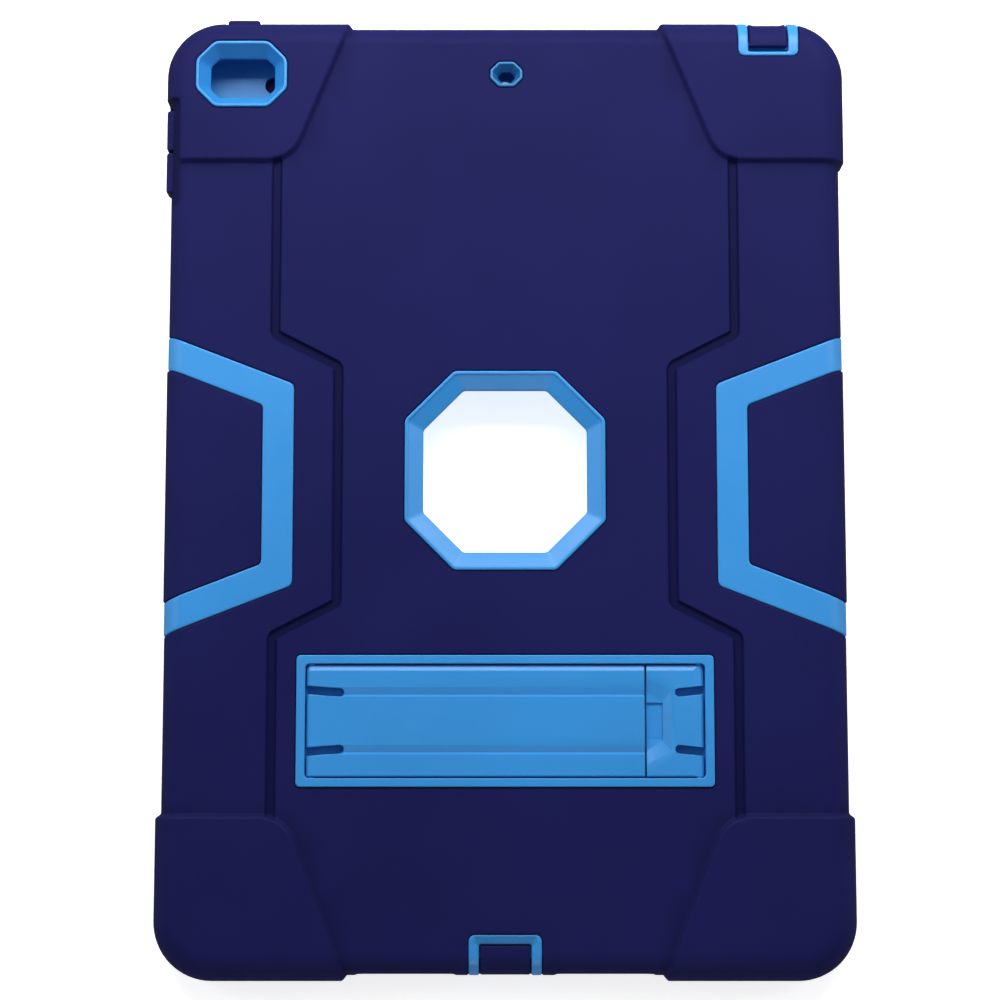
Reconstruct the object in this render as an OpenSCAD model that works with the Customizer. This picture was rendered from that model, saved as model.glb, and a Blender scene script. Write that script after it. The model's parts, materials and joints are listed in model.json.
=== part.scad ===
// Three-layer protective case for a 10.2-inch-class tablet, lying on its front lip.
// X is the case's width, Y its height (camera end at +Y), Z points out of its back.
// The origin is the middle of the case, on the plane that its front lip rests on.

/* [Tablet] */
// Width of the tablet (X)
tablet_w = 174.1; // [145:0.1:215]
// Height of the tablet (Y)
tablet_h = 250.6; // [225:0.1:305]
// Thickness of the tablet (Z)
tablet_t = 7.5; // [6.5:0.1:10]
// Plan radius of the tablet's corners
tablet_r = 7.5; // [5:0.5:12]
// Free space between the tablet and the walls round it
tablet_gap = 0.25; // [0.1:0.05:0.6]
// Free space over the tablet's back
tablet_back_gap = 0.2; // [0.1:0.05:0.6]

/* [Hard shell] */
// Thickness of the hard side walls
shell_wall = 2.0; // [1.6:0.1:3]
// Thickness of the back shell's floor
shell_back = 1.6; // [1.2:0.1:2.4]
// Thickness of the front frame's bezel
frame_t = 1.5; // [1.2:0.1:2.2]
// Height of the joint line above the bezel's inner face
parting_rise = 2.0; // [1.5:0.1:2.4]
// How far hard parts stand proud of the skin round them
collar_proud = 0.5; // [0.2:0.1:1]
// Gap between a hard part and the skin's window round it
window_gap = 0.15; // [0.05:0.05:0.4]

/* [Silicone skin] */
// Thickness of the skin's side walls
skin_side = 4.7; // [4:0.1:6.5]
// Thickness of the skin on the back
skin_back = 2.0; // [1.5:0.1:3]
// Thickness of the front lip
skin_front = 1.5; // [1.2:0.1:2.5]
// Radius of the edge between side and back
back_edge_r = 6.0; // [3:0.5:7]
// Radius of the edge between side and front lip
front_edge_r = 1.8; // [0.5:0.1:2.2]
// Extra thickness of the corner bumpers at the sides
bumper_side = 1.6; // [0.5:0.1:2.5]
// Extra thickness of the corner bumpers on the back
bumper_back = 1.2; // [0.5:0.1:2]
// Length of the top bumpers, from the top edge
bumper_top_len = 39.6; // [34:0.1:48]
// Length of the bottom bumpers, from the bottom edge
bumper_bottom_len = 42.8; // [34:0.1:48]
// How far a bumper reaches in from the side, at its long end
bumper_reach_in = 34.2; // [30:0.1:38]
// How far a bumper reaches in from the side, at the case's end
bumper_reach_end = 50.4; // [44:0.1:54]
// Radius of the bumper outline's corner
bumper_turn_r = 10; // [4:0.5:12]
// Extra thickness of the side panels inside the chevrons
panel_side = 0.4; // [0.2:0.1:1]

/* [Grooves] */
// Width of the decorative grooves
groove_w = 2.6; // [1.5:0.1:4]
// Depth of the decorative grooves
groove_depth = 0.9; // [0.3:0.1:1.2]
// Distance of the grooves' outer runs from the side
groove_outer = 30.2; // [27:0.1:34]
// Distance of the grooves' inner runs from the side
groove_inner = 47.8; // [42:0.1:50]
// Half the height between the outer corners of a groove
groove_half_outer = 42; // [38:0.5:48]
// Half the height between the inner corners of a groove
groove_half_inner = 33; // [29:0.5:36]

/* [Chevrons] */
// Height of the chevrons' middle above the case's middle
chevron_y = 1.3; // [-6:0.1:6]
// How far a chevron reaches in from the side
chevron_reach = 35.6; // [32:0.1:39]
// Width of a chevron's strip
chevron_w = 8.65; // [5:0.05:12]
// Half the height of a chevron's upright, outside
chevron_half = 28; // [22:0.5:32]
// Slope of a chevron's arms
chevron_slope = 21.2; // [10:0.1:28]
// Height above the front lip where the chevrons end
chevron_low = 4.2; // [3.6:0.1:6]
// How far the chevrons stand proud of the skin
chevron_proud = 0.1; // [0:0.05:0.4]

/* [Eight-sided window] */
// Height of the window's middle above the case's middle
window_y = 5.2; // [-10:0.1:10]
// Width across flats of the collar
window_outer = 55.4; // [40:0.1:70]
// Width across flats of the opening
window_inner = 45.3; // [34:0.1:60]
// Chamfer of the collar's corners
window_chamfer = 13.6; // [10:0.1:18]
// Radius of the collar's corners
window_turn_r = 2.2; // [0.5:0.1:4]

/* [Camera and microphone openings] */
// Distance of the camera opening from the left side
camera_from_side = 20.0; // [18:0.1:24]
// Distance of the camera opening from the top edge
camera_from_top = 14.8; // [13:0.1:18]
// Outside size of the camera collar
camera_outer = [25.6, 19.0];
// Size of the camera opening
camera_inner = [18.1, 11.6];
// Chamfer of the camera collar's corners
camera_chamfer = 5.3; // [3:0.1:7]
// Distance of the microphone opening from the top edge
mic_from_top = 14.6; // [12:0.1:18]
// Outside size of the microphone collar
mic_outer = [9.1, 7.2];
// Size of the microphone opening
mic_inner = [4.6, 3.4];

/* [Stand] */
// Distance of the stand's middle below the case's middle
stand_drop = 63.75; // [60:0.05:70]
// Outside size of the stand's tray
tray_outer = [113.9, 35.8];
// Width of the tray's rim at its ends
tray_rim_x = 2.45; // [1.8:0.05:4]
// Width of the tray's rim at its sides
tray_rim_y = 2.35; // [2.2:0.05:4]
// Thickness of the tray's floor
tray_floor = 0.9; // [0.7:0.1:1.2]
// Thickness of the leg and the foot
leg_t = 2.7; // [2:0.1:3]
// Gap round the leg and the foot
leg_gap = 0.3; // [0.2:0.05:0.5]
// Gap between the leg and the foot
leg_foot_gap = 0.5; // [0.4:0.05:0.8]
// Length of the foot
foot_len = 15.7; // [13:0.1:22]
// Radius of the round hinge end
knuckle_r = 1.45; // [1.4:0.05:1.6]
// Radius of the trunnion pins
trunnion_r = 0.9; // [0.6:0.05:1.1]
// Length of the trunnion pins
trunnion_len = 1.9; // [1.2:0.1:2.2]
// Radial clearance of the pins in their holes
trunnion_gap = 0.06; // [0.02:0.01:0.1]
// Length of the flex slots in the leg
leg_slot_len = 10.3; // [6:0.1:14]
// Length of the flex slots in the foot
foot_slot_len = 7.9; // [5:0.1:10]
// Width of the flex slots
slot_w = 2.3; // [1.5:0.1:3]
// Distance of the slots' open ends from the stand's middle line
slot_y_out = 8.4; // [6:0.1:10]
// Distance of the slots' round ends from the stand's middle line
slot_y_in = 7.7; // [6:0.1:10]
// Width of the long grooves in the leg
leg_groove_w = 2.6; // [1:0.1:4]
// Depth of the long grooves in the leg
leg_groove_depth = 0.7; // [0.3:0.1:1]
// Width of the bevel along the leg's sides
leg_bevel_w = 1.5; // [0.5:0.1:2.5]
// Height of the bevel along the leg's sides
leg_bevel_h = 0.8; // [0.3:0.1:1.2]
// Width of the finger scoop at the leg's end
scoop_wide = 25.2; // [18:0.1:27]
// Width of the finger scoop at its far side
scoop_narrow = 16.5; // [12:0.1:17]
// Length of the finger scoop
scoop_len = 6.8; // [5:0.1:7.2]
// Width of the deep pocket in the scoop
pocket_w = 10.3; // [8:0.1:11]

/* [Ports] */
// Distance of the headphone port from the right side
audio_from_side = 19.9; // [19:0.1:24]
// Outside width of the headphone port's surround
audio_w = 16.9; // [14:0.1:18]
// Inner edge of the headphone port's surround, from the top edge
audio_reach = 9.45; // [8.5:0.05:12]
// Gap between the headphone flap's end and the surround
audio_end_gap = 1.5; // [0.3:0.1:2]
// Outside width of the charging port's surround
charge_w = 19.8; // [16:0.1:24]
// Inner edge of the charging port's surround, from the bottom edge
charge_reach = 11.0; // [9.5:0.1:13]
// Gap between the charging flap's end and the surround
charge_end_gap = 0.4; // [0.3:0.1:2]
// Width of the surrounds' posts
post_w = 2.8; // [2:0.1:4]
// Width of the headphone surround's cross bar
audio_bar = 1.2; // [1:0.1:3]
// Width of the charging surround's cross bar
charge_bar = 2.5; // [1:0.1:3]
// Height above the front lip where the posts end
post_low = 3.3; // [3:0.1:4]
// Thickness of the flaps
flap_t = 1.5; // [1.2:0.1:1.6]
// Gap round the flaps
flap_gap = 0.35; // [0.3:0.05:0.5]
// How far the flaps lie below the surface round them
flap_sunk = 0.15; // [0.05:0.05:0.3]
// Height of the flaps' hinge line above the front lip
flap_hinge_z = 2.6; // [2.6:0.1:3]
// Width of the plug on the headphone flap
audio_plug_w = 5.5; // [4:0.1:7]
// Width of the plug on the charging flap
charge_plug_w = 8.4; // [7:0.1:9]
// Height of the plugs on the flaps
plug_h = 3.0; // [2:0.1:3.4]
// Clearance round a plug, in its socket opening
plug_gap = 1.6; // [1.5:0.1:2]
// Nearest edge of the speaker slots to the middle line
speaker_in = 15.0; // [13:0.1:18]
// Length of the speaker slots
speaker_len = 24.0; // [12:0.1:26]
// Height of the speaker slots
speaker_h = 4.8; // [4.4:0.1:5]
// Rim of the recess round a speaker slot
speaker_rim = 1.6; // [0.6:0.1:1.8]
// Depth of the recess round a speaker slot
speaker_recess = 1.5; // [0.5:0.1:2.5]

/* [Buttons] */
// Distance of the power button from the left side
power_from_side = 20.05; // [18:0.05:24]
// Length of the power pad
power_len = 9.1; // [7:0.1:14]
// Distance of the volume pads' upper end from the top edge
volume_from_top = 24.0; // [22:0.1:30]
// Length of each volume pad
volume_len = 11.6; // [9:0.1:13]
// Gap between the two volume pads
volume_gap = 0.6; // [0.5:0.1:1]
// Height of the pads (Z)
pad_h = 6.8; // [5:0.1:7]
// How far the power pad stands out past its bumper
power_proud = 0.9; // [0.4:0.1:1.2]
// How far the volume pads stand out past the body
volume_proud = 1.4; // [0.6:0.1:1.6]
// How far a pad can be pressed
press_travel = 0.5; // [0.3:0.05:0.6]
// Gap round the pads
pad_gap = 0.35; // [0.3:0.05:0.5]
// How far a pad's flange reaches past its cap
flange_reach = 1.2; // [0.8:0.1:1.4]
// Thickness of a pad's flange
flange_t = 0.8; // [0.6:0.1:1]
// Size of the rib that meets the tablet's button (along the edge, Z)
rib_size = [5.0, 2.6];

/* [Front] */
// Width of the bezel that covers the tablet at its sides
bezel_side = 8.3; // [5:0.1:10]
// Width of the bezel that covers the tablet at its ends
bezel_end = 20.5; // [17:0.1:24]
// How far the skin's window stands back from the frame's
lip_back = 1.2; // [0.5:0.1:2]
// Plan radius of the front window's corners
front_window_r = 3; // [1:0.5:5]
// Diameter of the home button's opening
home_d = 13; // [11:0.5:14]
// Diameter of the front camera's opening
front_camera_d = 8; // [6:0.5:10]
// Distance of both from the tablet's ends
front_hole_in = 10.3; // [9:0.1:11]
// Diameter of the locating hole seen through the camera opening
peg_hole_d = 5; // [3:0.5:6]

/* [Snap tongues] */
// Width of a snap tongue
tongue_w = 10; // [6:0.5:12]
// Thickness of a snap tongue
tongue_t = 0.9; // [0.6:0.1:1.1]
// Height of a snap tongue over the joint line
tongue_h = 3.4; // [2.8:0.1:3.6]
// How far a tongue's barb reaches into the wall
barb_reach = 0.6; // [0.4:0.1:0.8]
// Clearance round a tongue
tongue_gap = 0.15; // [0.1:0.05:0.3]
// Distance of the side tongues from the case's middle
tongue_y = 62; // [55:1:70]
// Distance of the end tongues from the case's middle
tongue_x = 54; // [50:1:58]

/* [Hidden] */
// corners of the collars: cut and rounding outside and inside, and how far the funnel stands in
tray_proud = 0.1;        // the tray's rim, over the other collars
window_lip = 2;          // both sides together
window_inner_r = 1.8;
camera_lip = 1.8;
camera_outer_r = 1.5;
camera_inner_cut = 2.5;
camera_inner_r = 0.6;
mic_lip = 1.6;
mic_cut = 2.4;
mic_outer_r = 1.2;
mic_inner_cut = 1.2;
mic_inner_r = 0.5;
lip_cut = 0.6;           // what a funnel's upper edge has less of corner cut than its collar
funnel_foot = 0.6;       // height over the floor at which the camera's and microphone's funnels end
gap_cut = 0.1;           // what the skin's windows have more of corner cut than the collars in them
tray_r = 1.2;
mic_x = 0.4;             // microphone opening, beside the middle line
peg_inside = 1.05;       // locating hole, in from the camera opening's edge
peg_above = 0.3;         // and above its middle
barb_h = 1.2;            // height of a tongue's barb
wall_lap = 1;            // how far a cut starts clear of the surface it opens
chevron_outer_turn = 2;  // plan radius where the chevron's arms meet its upright
chevron_inner_turn = 1.5;
groove_lap = 4;          // how far the grooves run on under the bumpers
groove_lean = 0.2;       // groove's middle, in from the slots' middle
pad_low_share = 0.45;    // share of a pad's height that lies below the tablet's middle
socket_low_gap = 1.0;    // room under a plug, in its socket opening
rib_clear = 0.1;         // gap left between a pressed rib and the tablet
plug_clear = 0.6;        // gap between a plug's tip and the tablet space
// finger scoop of the foot: half widths and length of its bottom, its depth, and the pocket in it
scoop_low_wide = 8.5;
scoop_low_narrow = 5.5;
scoop_low_len = 4.5;
scoop_depth = 1.3;
scoop_spread = 0.6;      // what the scoop's upper outline gains past the foot's free end
pocket_floor = 0.7;
pocket_short = 0.6;

$fn = 64;

hard_blue = [0.20, 0.53, 0.82];
soft_navy = [0.15, 0.14, 0.36];
eps = 0.01;
far = 20;      // reach of a cut past the surface it opens
arc_steps = 6; // straight steps in each rounded edge or corner of a drawn outline

// plan sizes, from the tablet outwards
cav = [tablet_w + 2 * tablet_gap, tablet_h + 2 * tablet_gap];
cav_r = tablet_r + tablet_gap;
shell = [cav.x + 2 * shell_wall, cav.y + 2 * shell_wall];
shell_r = cav_r + shell_wall;
body = [shell.x + 2 * skin_side, shell.y + 2 * skin_side];
body_r = shell_r + skin_side;
bumper = [body.x + 2 * bumper_side, body.y + 2 * bumper_side];
bumper_r = body_r + bumper_side;

// heights, from the front lip to the back
z_lip = skin_front;
z_cav = z_lip + frame_t;
z_part = z_cav + parting_rise;
z_floor = z_cav + tablet_t + tablet_back_gap;
z_shell = z_floor + shell_back;
z_skin = z_shell + skin_back;
z_bumper = z_skin + bumper_back;
z_collar = z_skin + collar_proud;
z_mid = z_cav + tablet_t / 2;
bumper_edge_r = back_edge_r + min(bumper_side, bumper_back) / 2;

// places that several pieces share
camera_pos = [-body.x / 2 + camera_from_side, body.y / 2 - camera_from_top];
mic_pos = [mic_x, body.y / 2 - mic_from_top];
window_pos = [0, window_y];
stand_pos = [0, -stand_drop];
audio_x = body.x / 2 - audio_from_side;
power_x = -body.x / 2 + power_from_side;
home_pos = [0, -tablet_h / 2 + front_hole_in];
front_camera_pos = [0, tablet_h / 2 - front_hole_in];
peg_pos = [camera_pos.x + camera_inner.x / 2 - peg_inside, camera_pos.y + peg_above];
volume_up_y = body.y / 2 - volume_from_top - volume_len / 2;
volume_down_y = volume_up_y - volume_len - volume_gap;
volume_mid_y = (volume_up_y + volume_down_y) / 2;

// the stand, measured from its own middle
tray_inner = [tray_outer.x - 2 * tray_rim_x, tray_outer.y - 2 * tray_rim_y];
z_tray_floor = z_floor + tray_floor;
z_leg = z_tray_floor + leg_gap;
z_pivot = z_leg + leg_t / 2;
pivot_x = tray_inner.x / 2 - leg_gap - knuckle_r;
leg_half_w = tray_inner.y / 2 - leg_gap;
foot_end_x = tray_inner.x / 2 - leg_gap - foot_len;
leg_end_x = foot_end_x - leg_foot_gap;

// the flaps' outer faces and hinge lines
audio_face_y = body.y / 2 + bumper_side - flap_sunk;
audio_face_z = z_bumper - flap_sunk;
charge_face_y = body.y / 2 - flap_sunk;
charge_face_z = z_skin - flap_sunk;
socket_top = z_mid + plug_h / 2 + plug_gap;
socket_low = z_mid - plug_h / 2 - socket_low_gap;

// the pads' faces
z_pad = z_mid - pad_low_share * pad_h;
flange_face = pad_gap + press_travel;    // inner face of the flange, from the shell
flange_pocket = flange_face + flange_t + pad_gap;

// points on an arc about c, from angle a0 to a1
function arc(c, r, a0, a1, steps = arc_steps) =
    [for (i = [0 : steps]) let (a = a0 + (a1 - a0) * i / steps) c + r * [cos(a), sin(a)]];
function unit(v) = v / norm(v);
function turn(a, b) = a.x * b.y - a.y * b.x;

// an outline with each corner p[i] rounded to the radius r[i]
function round_outline(p, r) = [for (i = [0 : len(p) - 1])
    let (q = p[i], u = unit(p[(i + len(p) - 1) % len(p)] - q), v = unit(p[(i + 1) % len(p)] - q),
         half = acos(u * v) / 2, c = q + unit(u + v) * r[i] / sin(half),
         a0 = atan2((q + u * r[i] / tan(half) - c).y, (q + u * r[i] / tan(half) - c).x),
         side = turn(u, v) > 0 ? -1 : 1, sweep = side * (180 - 2 * half))
    each (r[i] < eps ? [q] : arc(c, r[i], a0, a0 + sweep))];
function same(p, r) = round_outline(p, [for (q = p) r]);
function flip_x(p) = [for (i = [len(p) - 1 : -1 : 0]) [-p[i].x, p[i].y]];
function flip_y(p) = [for (i = [len(p) - 1 : -1 : 0]) [p[i].x, -p[i].y]];

// a rectangle with chamfered and slightly rounded corners
function cut_rect(s, c, r) = let (x = s.x / 2, y = s.y / 2)
    same([[x, y - c], [x - c, y], [c - x, y], [-x, y - c],
          [-x, c - y], [c - x, -y], [x - c, -y], [x, c - y]], r);
function rect(s) = [[s.x, s.y] / 2, [-s.x, s.y] / 2, [-s.x, -s.y] / 2, [s.x, -s.y] / 2];

// a path widened by w / 2 to each side, with mitred corners
function side_of(p, d) = [for (i = [0 : len(p) - 1])
    let (u = unit(p[min(i + 1, len(p) - 1)] - p[max(min(i, len(p) - 2), 0)]),
         t = unit(p[max(i, 1)] - p[max(i - 1, 0)]),
         nu = [-u.y, u.x], nt = [-t.y, t.x], m = unit(nu + nt)) p[i] + m * d / (m * nu)];
function strip(p, w) = concat(side_of(p, w / 2),
    [for (i = [len(p) - 1 : -1 : 0]) side_of(p, -w / 2)[i]]);

// right-hand outlines; the left-hand ones mirror them
function bumper_outline(len) =
    let (y0 = body.y / 2 - len, y1 = body.y / 2 + far, x0 = body.x / 2 - bumper_reach_in,
         x1 = body.x / 2 - bumper_reach_end, x2 = x0 + (x1 - x0) * (y1 - y0) / len,
         out = body.x / 2 + far)
    round_outline([[out, y0], [out, y1], [x2, y1], [x0, y0]], [0, 0, 0, bumper_turn_r]);
function chevron_outline(m) =
    let (t = tan(chevron_slope), k = 1 / cos(chevron_slope), w = chevron_w + 2 * m,
         x0 = body.x / 2 - chevron_reach - m, x1 = body.x / 2 + far,
         h = chevron_half + m * (k - t), ya = h + (x1 - x0) * t, yb = h + w * (t - k),
         p = [[x0, h], [x1, ya], [x1, ya - w * k], [x0 + w, yb],
              [x0 + w, -yb], [x1, w * k - ya], [x1, -ya], [x0, -h]])
    [for (q = round_outline(p, [chevron_outer_turn + m, 0, 0, chevron_inner_turn, chevron_inner_turn,
                                 0, 0, chevron_outer_turn + m])) q + [0, chevron_y]];
panel_outline = let (t = tan(chevron_slope), k = 1 / cos(chevron_slope), w = chevron_w + window_gap,
         x0 = body.x / 2 - chevron_reach + w, x1 = body.x / 2 + far,
         yb = chevron_half + w * t - chevron_w * k, ya = yb + (x1 - x0) * t)
    [for (q = [[x0, yb], [x0, -yb], [x1, -ya], [x1, ya]]) q + [0, chevron_y]];
groove_path = let (xo = body.x / 2 - groove_outer, xi = body.x / 2 - groove_inner,
                   yt = body.y / 2 - bumper_top_len + groove_lap,
                   yb = -body.y / 2 + bumper_bottom_len - groove_lap,
                   ho = groove_half_outer, hi = groove_half_inner, c = chevron_y)
    [[xo, yt], [xo, c + ho], [xi, c + hi], [xi, c - hi], [xo, c - ho], [xo, yb]];

// the three openings at the foot of their collars
window_hole = cut_rect([window_inner, window_inner], window_chamfer * window_inner / window_outer,
                       window_inner_r);
camera_hole = cut_rect(camera_inner, camera_inner_cut, camera_inner_r);
mic_hole = cut_rect(mic_inner, mic_inner_cut, mic_inner_r);

// section of a flat bar with its upper and lower outer edges rounded
function edge_half(reach, z0, z1, rt, rb) = concat(
    rb > 0 ? arc([reach - rb, z0 + rb], rb, -90, 0) : [[reach, z0]],
    rt > 0 ? arc([reach - rt, z1 - rt], rt, 0, 90) : [[reach, z1]]);

// plate with round plan corners, and edges rounded to rt on top and rb underneath
module plate(size, r, z0, z1, rt = 0, rb = 0) {
    module bar(reach, length) linear_extrude(length, center = true)
        polygon(concat(edge_half(reach, z0, z1, rt, rb), flip_x(edge_half(reach, z0, z1, rt, rb))));
    rotate([90, 0, 0]) bar(size.x / 2, size.y - 2 * r);
    rotate([90, 0, 90]) bar(size.y / 2, size.x - 2 * r);
    for (i = [0 : 3]) let (s = i % 2 == 0 ? size : [size.y, size.x])
        rotate([0, 0, 90 * i]) translate([s.x / 2 - r, s.y / 2 - r])
            rotate_extrude(angle = 90)
                polygon(concat([[0, z0]], edge_half(r, z0, z1, rt, rb), [[0, z1]]));
}

// prism over an outline
module prism(outline, z0, z1, at = [0, 0])
    translate([at.x, at.y, z0]) linear_extrude(z1 - z0) polygon(outline);

// block between two corners
module block(a, b) translate(a) cube(b - a);

// frustum between two outlines of the same number of points
module funnel(low, high, z0, z1, at) hull() {
    prism(low, z0, z0 + eps, at);
    prism(high, z1 - eps, z1, at);
}

module both_sides() {
    children();
    mirror([1, 0, 0]) children();
}

// the four tongue places: on the two sides and at the two ends
module at_tongues() {
    for (s = [-1, 1], q = [-1, 1]) {
        translate([s * shell.x / 2, q * tongue_y]) rotate([0, 0, s > 0 ? -90 : 90]) children();
        translate([q * tongue_x, s * shell.y / 2]) rotate([0, 0, s > 0 ? 0 : 180]) children();
    }
}

// openings in the hard walls that the ports and the speakers need
module wall_openings() {
    y0 = cav.y / 2 - eps - wall_lap;
    y1 = shell.y / 2 + eps;
    for (s = [-1, 1]) let (x = s > 0 ? speaker_in : -speaker_in - speaker_len)
        block([x, -y1, z_mid - speaker_h / 2], [x + speaker_len, -y0, z_mid + speaker_h / 2]);
    block([-charge_plug_w / 2 - plug_gap, -y1, socket_low],
          [charge_plug_w / 2 + plug_gap, -y0, socket_top]);
    block([audio_x - audio_plug_w / 2 - plug_gap, y0, socket_low],
          [audio_x + audio_plug_w / 2 + plug_gap, y1, socket_top]);
}

// space of a port surround: w wide, from reach inside the edge to past it, down to z
module port_space(w, reach, z, m = 0)
    block([-w / 2 - m, body.y / 2 - reach - m, z - m], [w / 2 + m, body.y / 2 + far, z_bumper + far]);

// hard U-shaped surround of a port, trimmed to the outside of the skin there
module port_surround(w, reach, bar, size, r, z_top, edge_r) {
    difference() {
        intersection() {
            plate(size, r, post_low - far, z_top, edge_r);
            translate([$port_x, 0]) port_space(w, reach, post_low);
        }
        translate([$port_x, 0]) port_space(w - 2 * post_w, reach - bar, post_low - far);
    }
}
module audio_surround() {
    $port_x = audio_x;
    port_surround(audio_w, audio_reach, audio_bar, bumper, bumper_r, z_bumper, bumper_edge_r);
}
module charge_surround() rotate([0, 0, 180]) {
    $port_x = 0;
    port_surround(charge_w, charge_reach, charge_bar, body, body_r, z_skin, back_edge_r);
}

module back_shell() color(hard_blue) difference() {
    union() {
        plate(shell, shell_r, z_part, z_shell);
        prism(cut_rect([window_outer, window_outer], window_chamfer, window_turn_r),
              z_shell - eps, z_collar, window_pos);
        prism(cut_rect(camera_outer, camera_chamfer, camera_outer_r),
              z_shell - eps, z_bumper + collar_proud, camera_pos);
        prism(cut_rect(mic_outer, mic_cut, mic_outer_r), z_shell - eps, z_collar, mic_pos);
        prism(same(rect(tray_outer), tray_r), z_shell - eps, z_collar + tray_proud, stand_pos);
        both_sides() intersection() {
            plate(body + 2 * chevron_proud * [1, 1], body_r + chevron_proud,
                  chevron_low, z_skin + chevron_proud, back_edge_r);
            prism(chevron_outline(0), chevron_low, z_bumper);
        }
        audio_surround();
        charge_surround();
    }
    plate(shell, shell_r, z_part - far, z_part);
    plate(cav, cav_r, z_part - wall_lap, z_floor);
    funnel(window_hole,
           cut_rect((window_outer - window_lip) * [1, 1], window_chamfer - lip_cut, window_inner_r),
           z_shell, z_collar + eps, window_pos);
    prism(window_hole, z_floor - wall_lap, z_collar, window_pos);
    funnel(camera_hole, cut_rect(camera_outer - camera_lip * [1, 1], camera_chamfer - lip_cut, camera_inner_r),
           z_floor + funnel_foot, z_bumper + collar_proud + eps, camera_pos);
    prism(camera_hole, z_floor - wall_lap, z_bumper, camera_pos);
    funnel(mic_hole, cut_rect(mic_outer - mic_lip * [1, 1], mic_cut - mic_inner_r, mic_inner_r),
           z_floor + funnel_foot, z_collar + eps, mic_pos);
    prism(mic_hole, z_floor - wall_lap, z_skin, mic_pos);
    translate(stand_pos) {
        prism(same(rect(tray_inner), tray_r), z_tray_floor, z_collar + wall_lap);
        for (s = [-1, 1]) translate([s * pivot_x, 0, z_pivot]) rotate([90, 0, 0])
            cylinder(h = 2 * (leg_half_w + trunnion_len + leg_gap / 2), r = trunnion_r + trunnion_gap,
                     center = true);
    }
    wall_openings();
    translate([power_x, cav.y / 2]) button_window();
    for (y = [volume_up_y, volume_down_y]) translate([-cav.x / 2, y]) rotate([0, 0, 90]) button_window();
    at_tongues() tongue(tongue_gap);
}

// opening in a hard wall for a pad's rib; the wall runs along X, and outwards is +Y
module button_window() {
    m = rib_size / 2 + pad_gap * [1, 1];
    block([-m.x, -wall_lap, z_mid - m.y], [m.x, shell_wall + wall_lap, z_mid + m.y]);
}

// snap tongue on a wall's outer face, whose outwards is +Y; m grows it into its pocket
module tongue(m) {
    block([-tongue_w / 2 - m, -tongue_t - m, z_part - eps],
          [tongue_w / 2 + m, m > 0 ? far : 0, z_part + tongue_h + m]);
    block([-tongue_w / 2 - m, -tongue_t - barb_reach - m, z_part + tongue_h - barb_h - m],
          [tongue_w / 2 + m, -tongue_t + eps, z_part + tongue_h + m]);
}

module front_frame() color(hard_blue) {
    difference() {
        plate(shell, shell_r, z_lip, z_part);
        plate(cav, cav_r, z_cav, z_part + wall_lap);
        plate([tablet_w - 2 * bezel_side, tablet_h - 2 * bezel_end], front_window_r,
              z_lip - wall_lap, z_cav + wall_lap);
        translate(home_pos) cylinder(h = far, d = home_d, center = true);
        translate(front_camera_pos) cylinder(h = far, d = front_camera_d, center = true);
        translate(peg_pos) cylinder(h = far, d = peg_hole_d, center = true);
        wall_openings();
    }
    at_tongues() tongue(0);
}

// the four corner prisms of the bumpers
module bumper_corners() both_sides() {
    prism(bumper_outline(bumper_top_len), -wall_lap, z_bumper + wall_lap);
    prism(flip_y(bumper_outline(bumper_bottom_len)), -wall_lap, z_bumper + wall_lap);
}

// T-shaped slot of a pad in the skin; the wall's inner face is Y = 0, outwards is +Y
module pad_slot(length) {
    x = length / 2 + pad_gap;
    block([-x, -eps, z_pad - pad_gap], [x, far, z_pad + pad_h + pad_gap]);
    block([-x, -eps, z_pad - flange_reach - pad_gap],
          [x, flange_pocket, z_pad + pad_h + flange_reach + pad_gap]);
}

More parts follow.
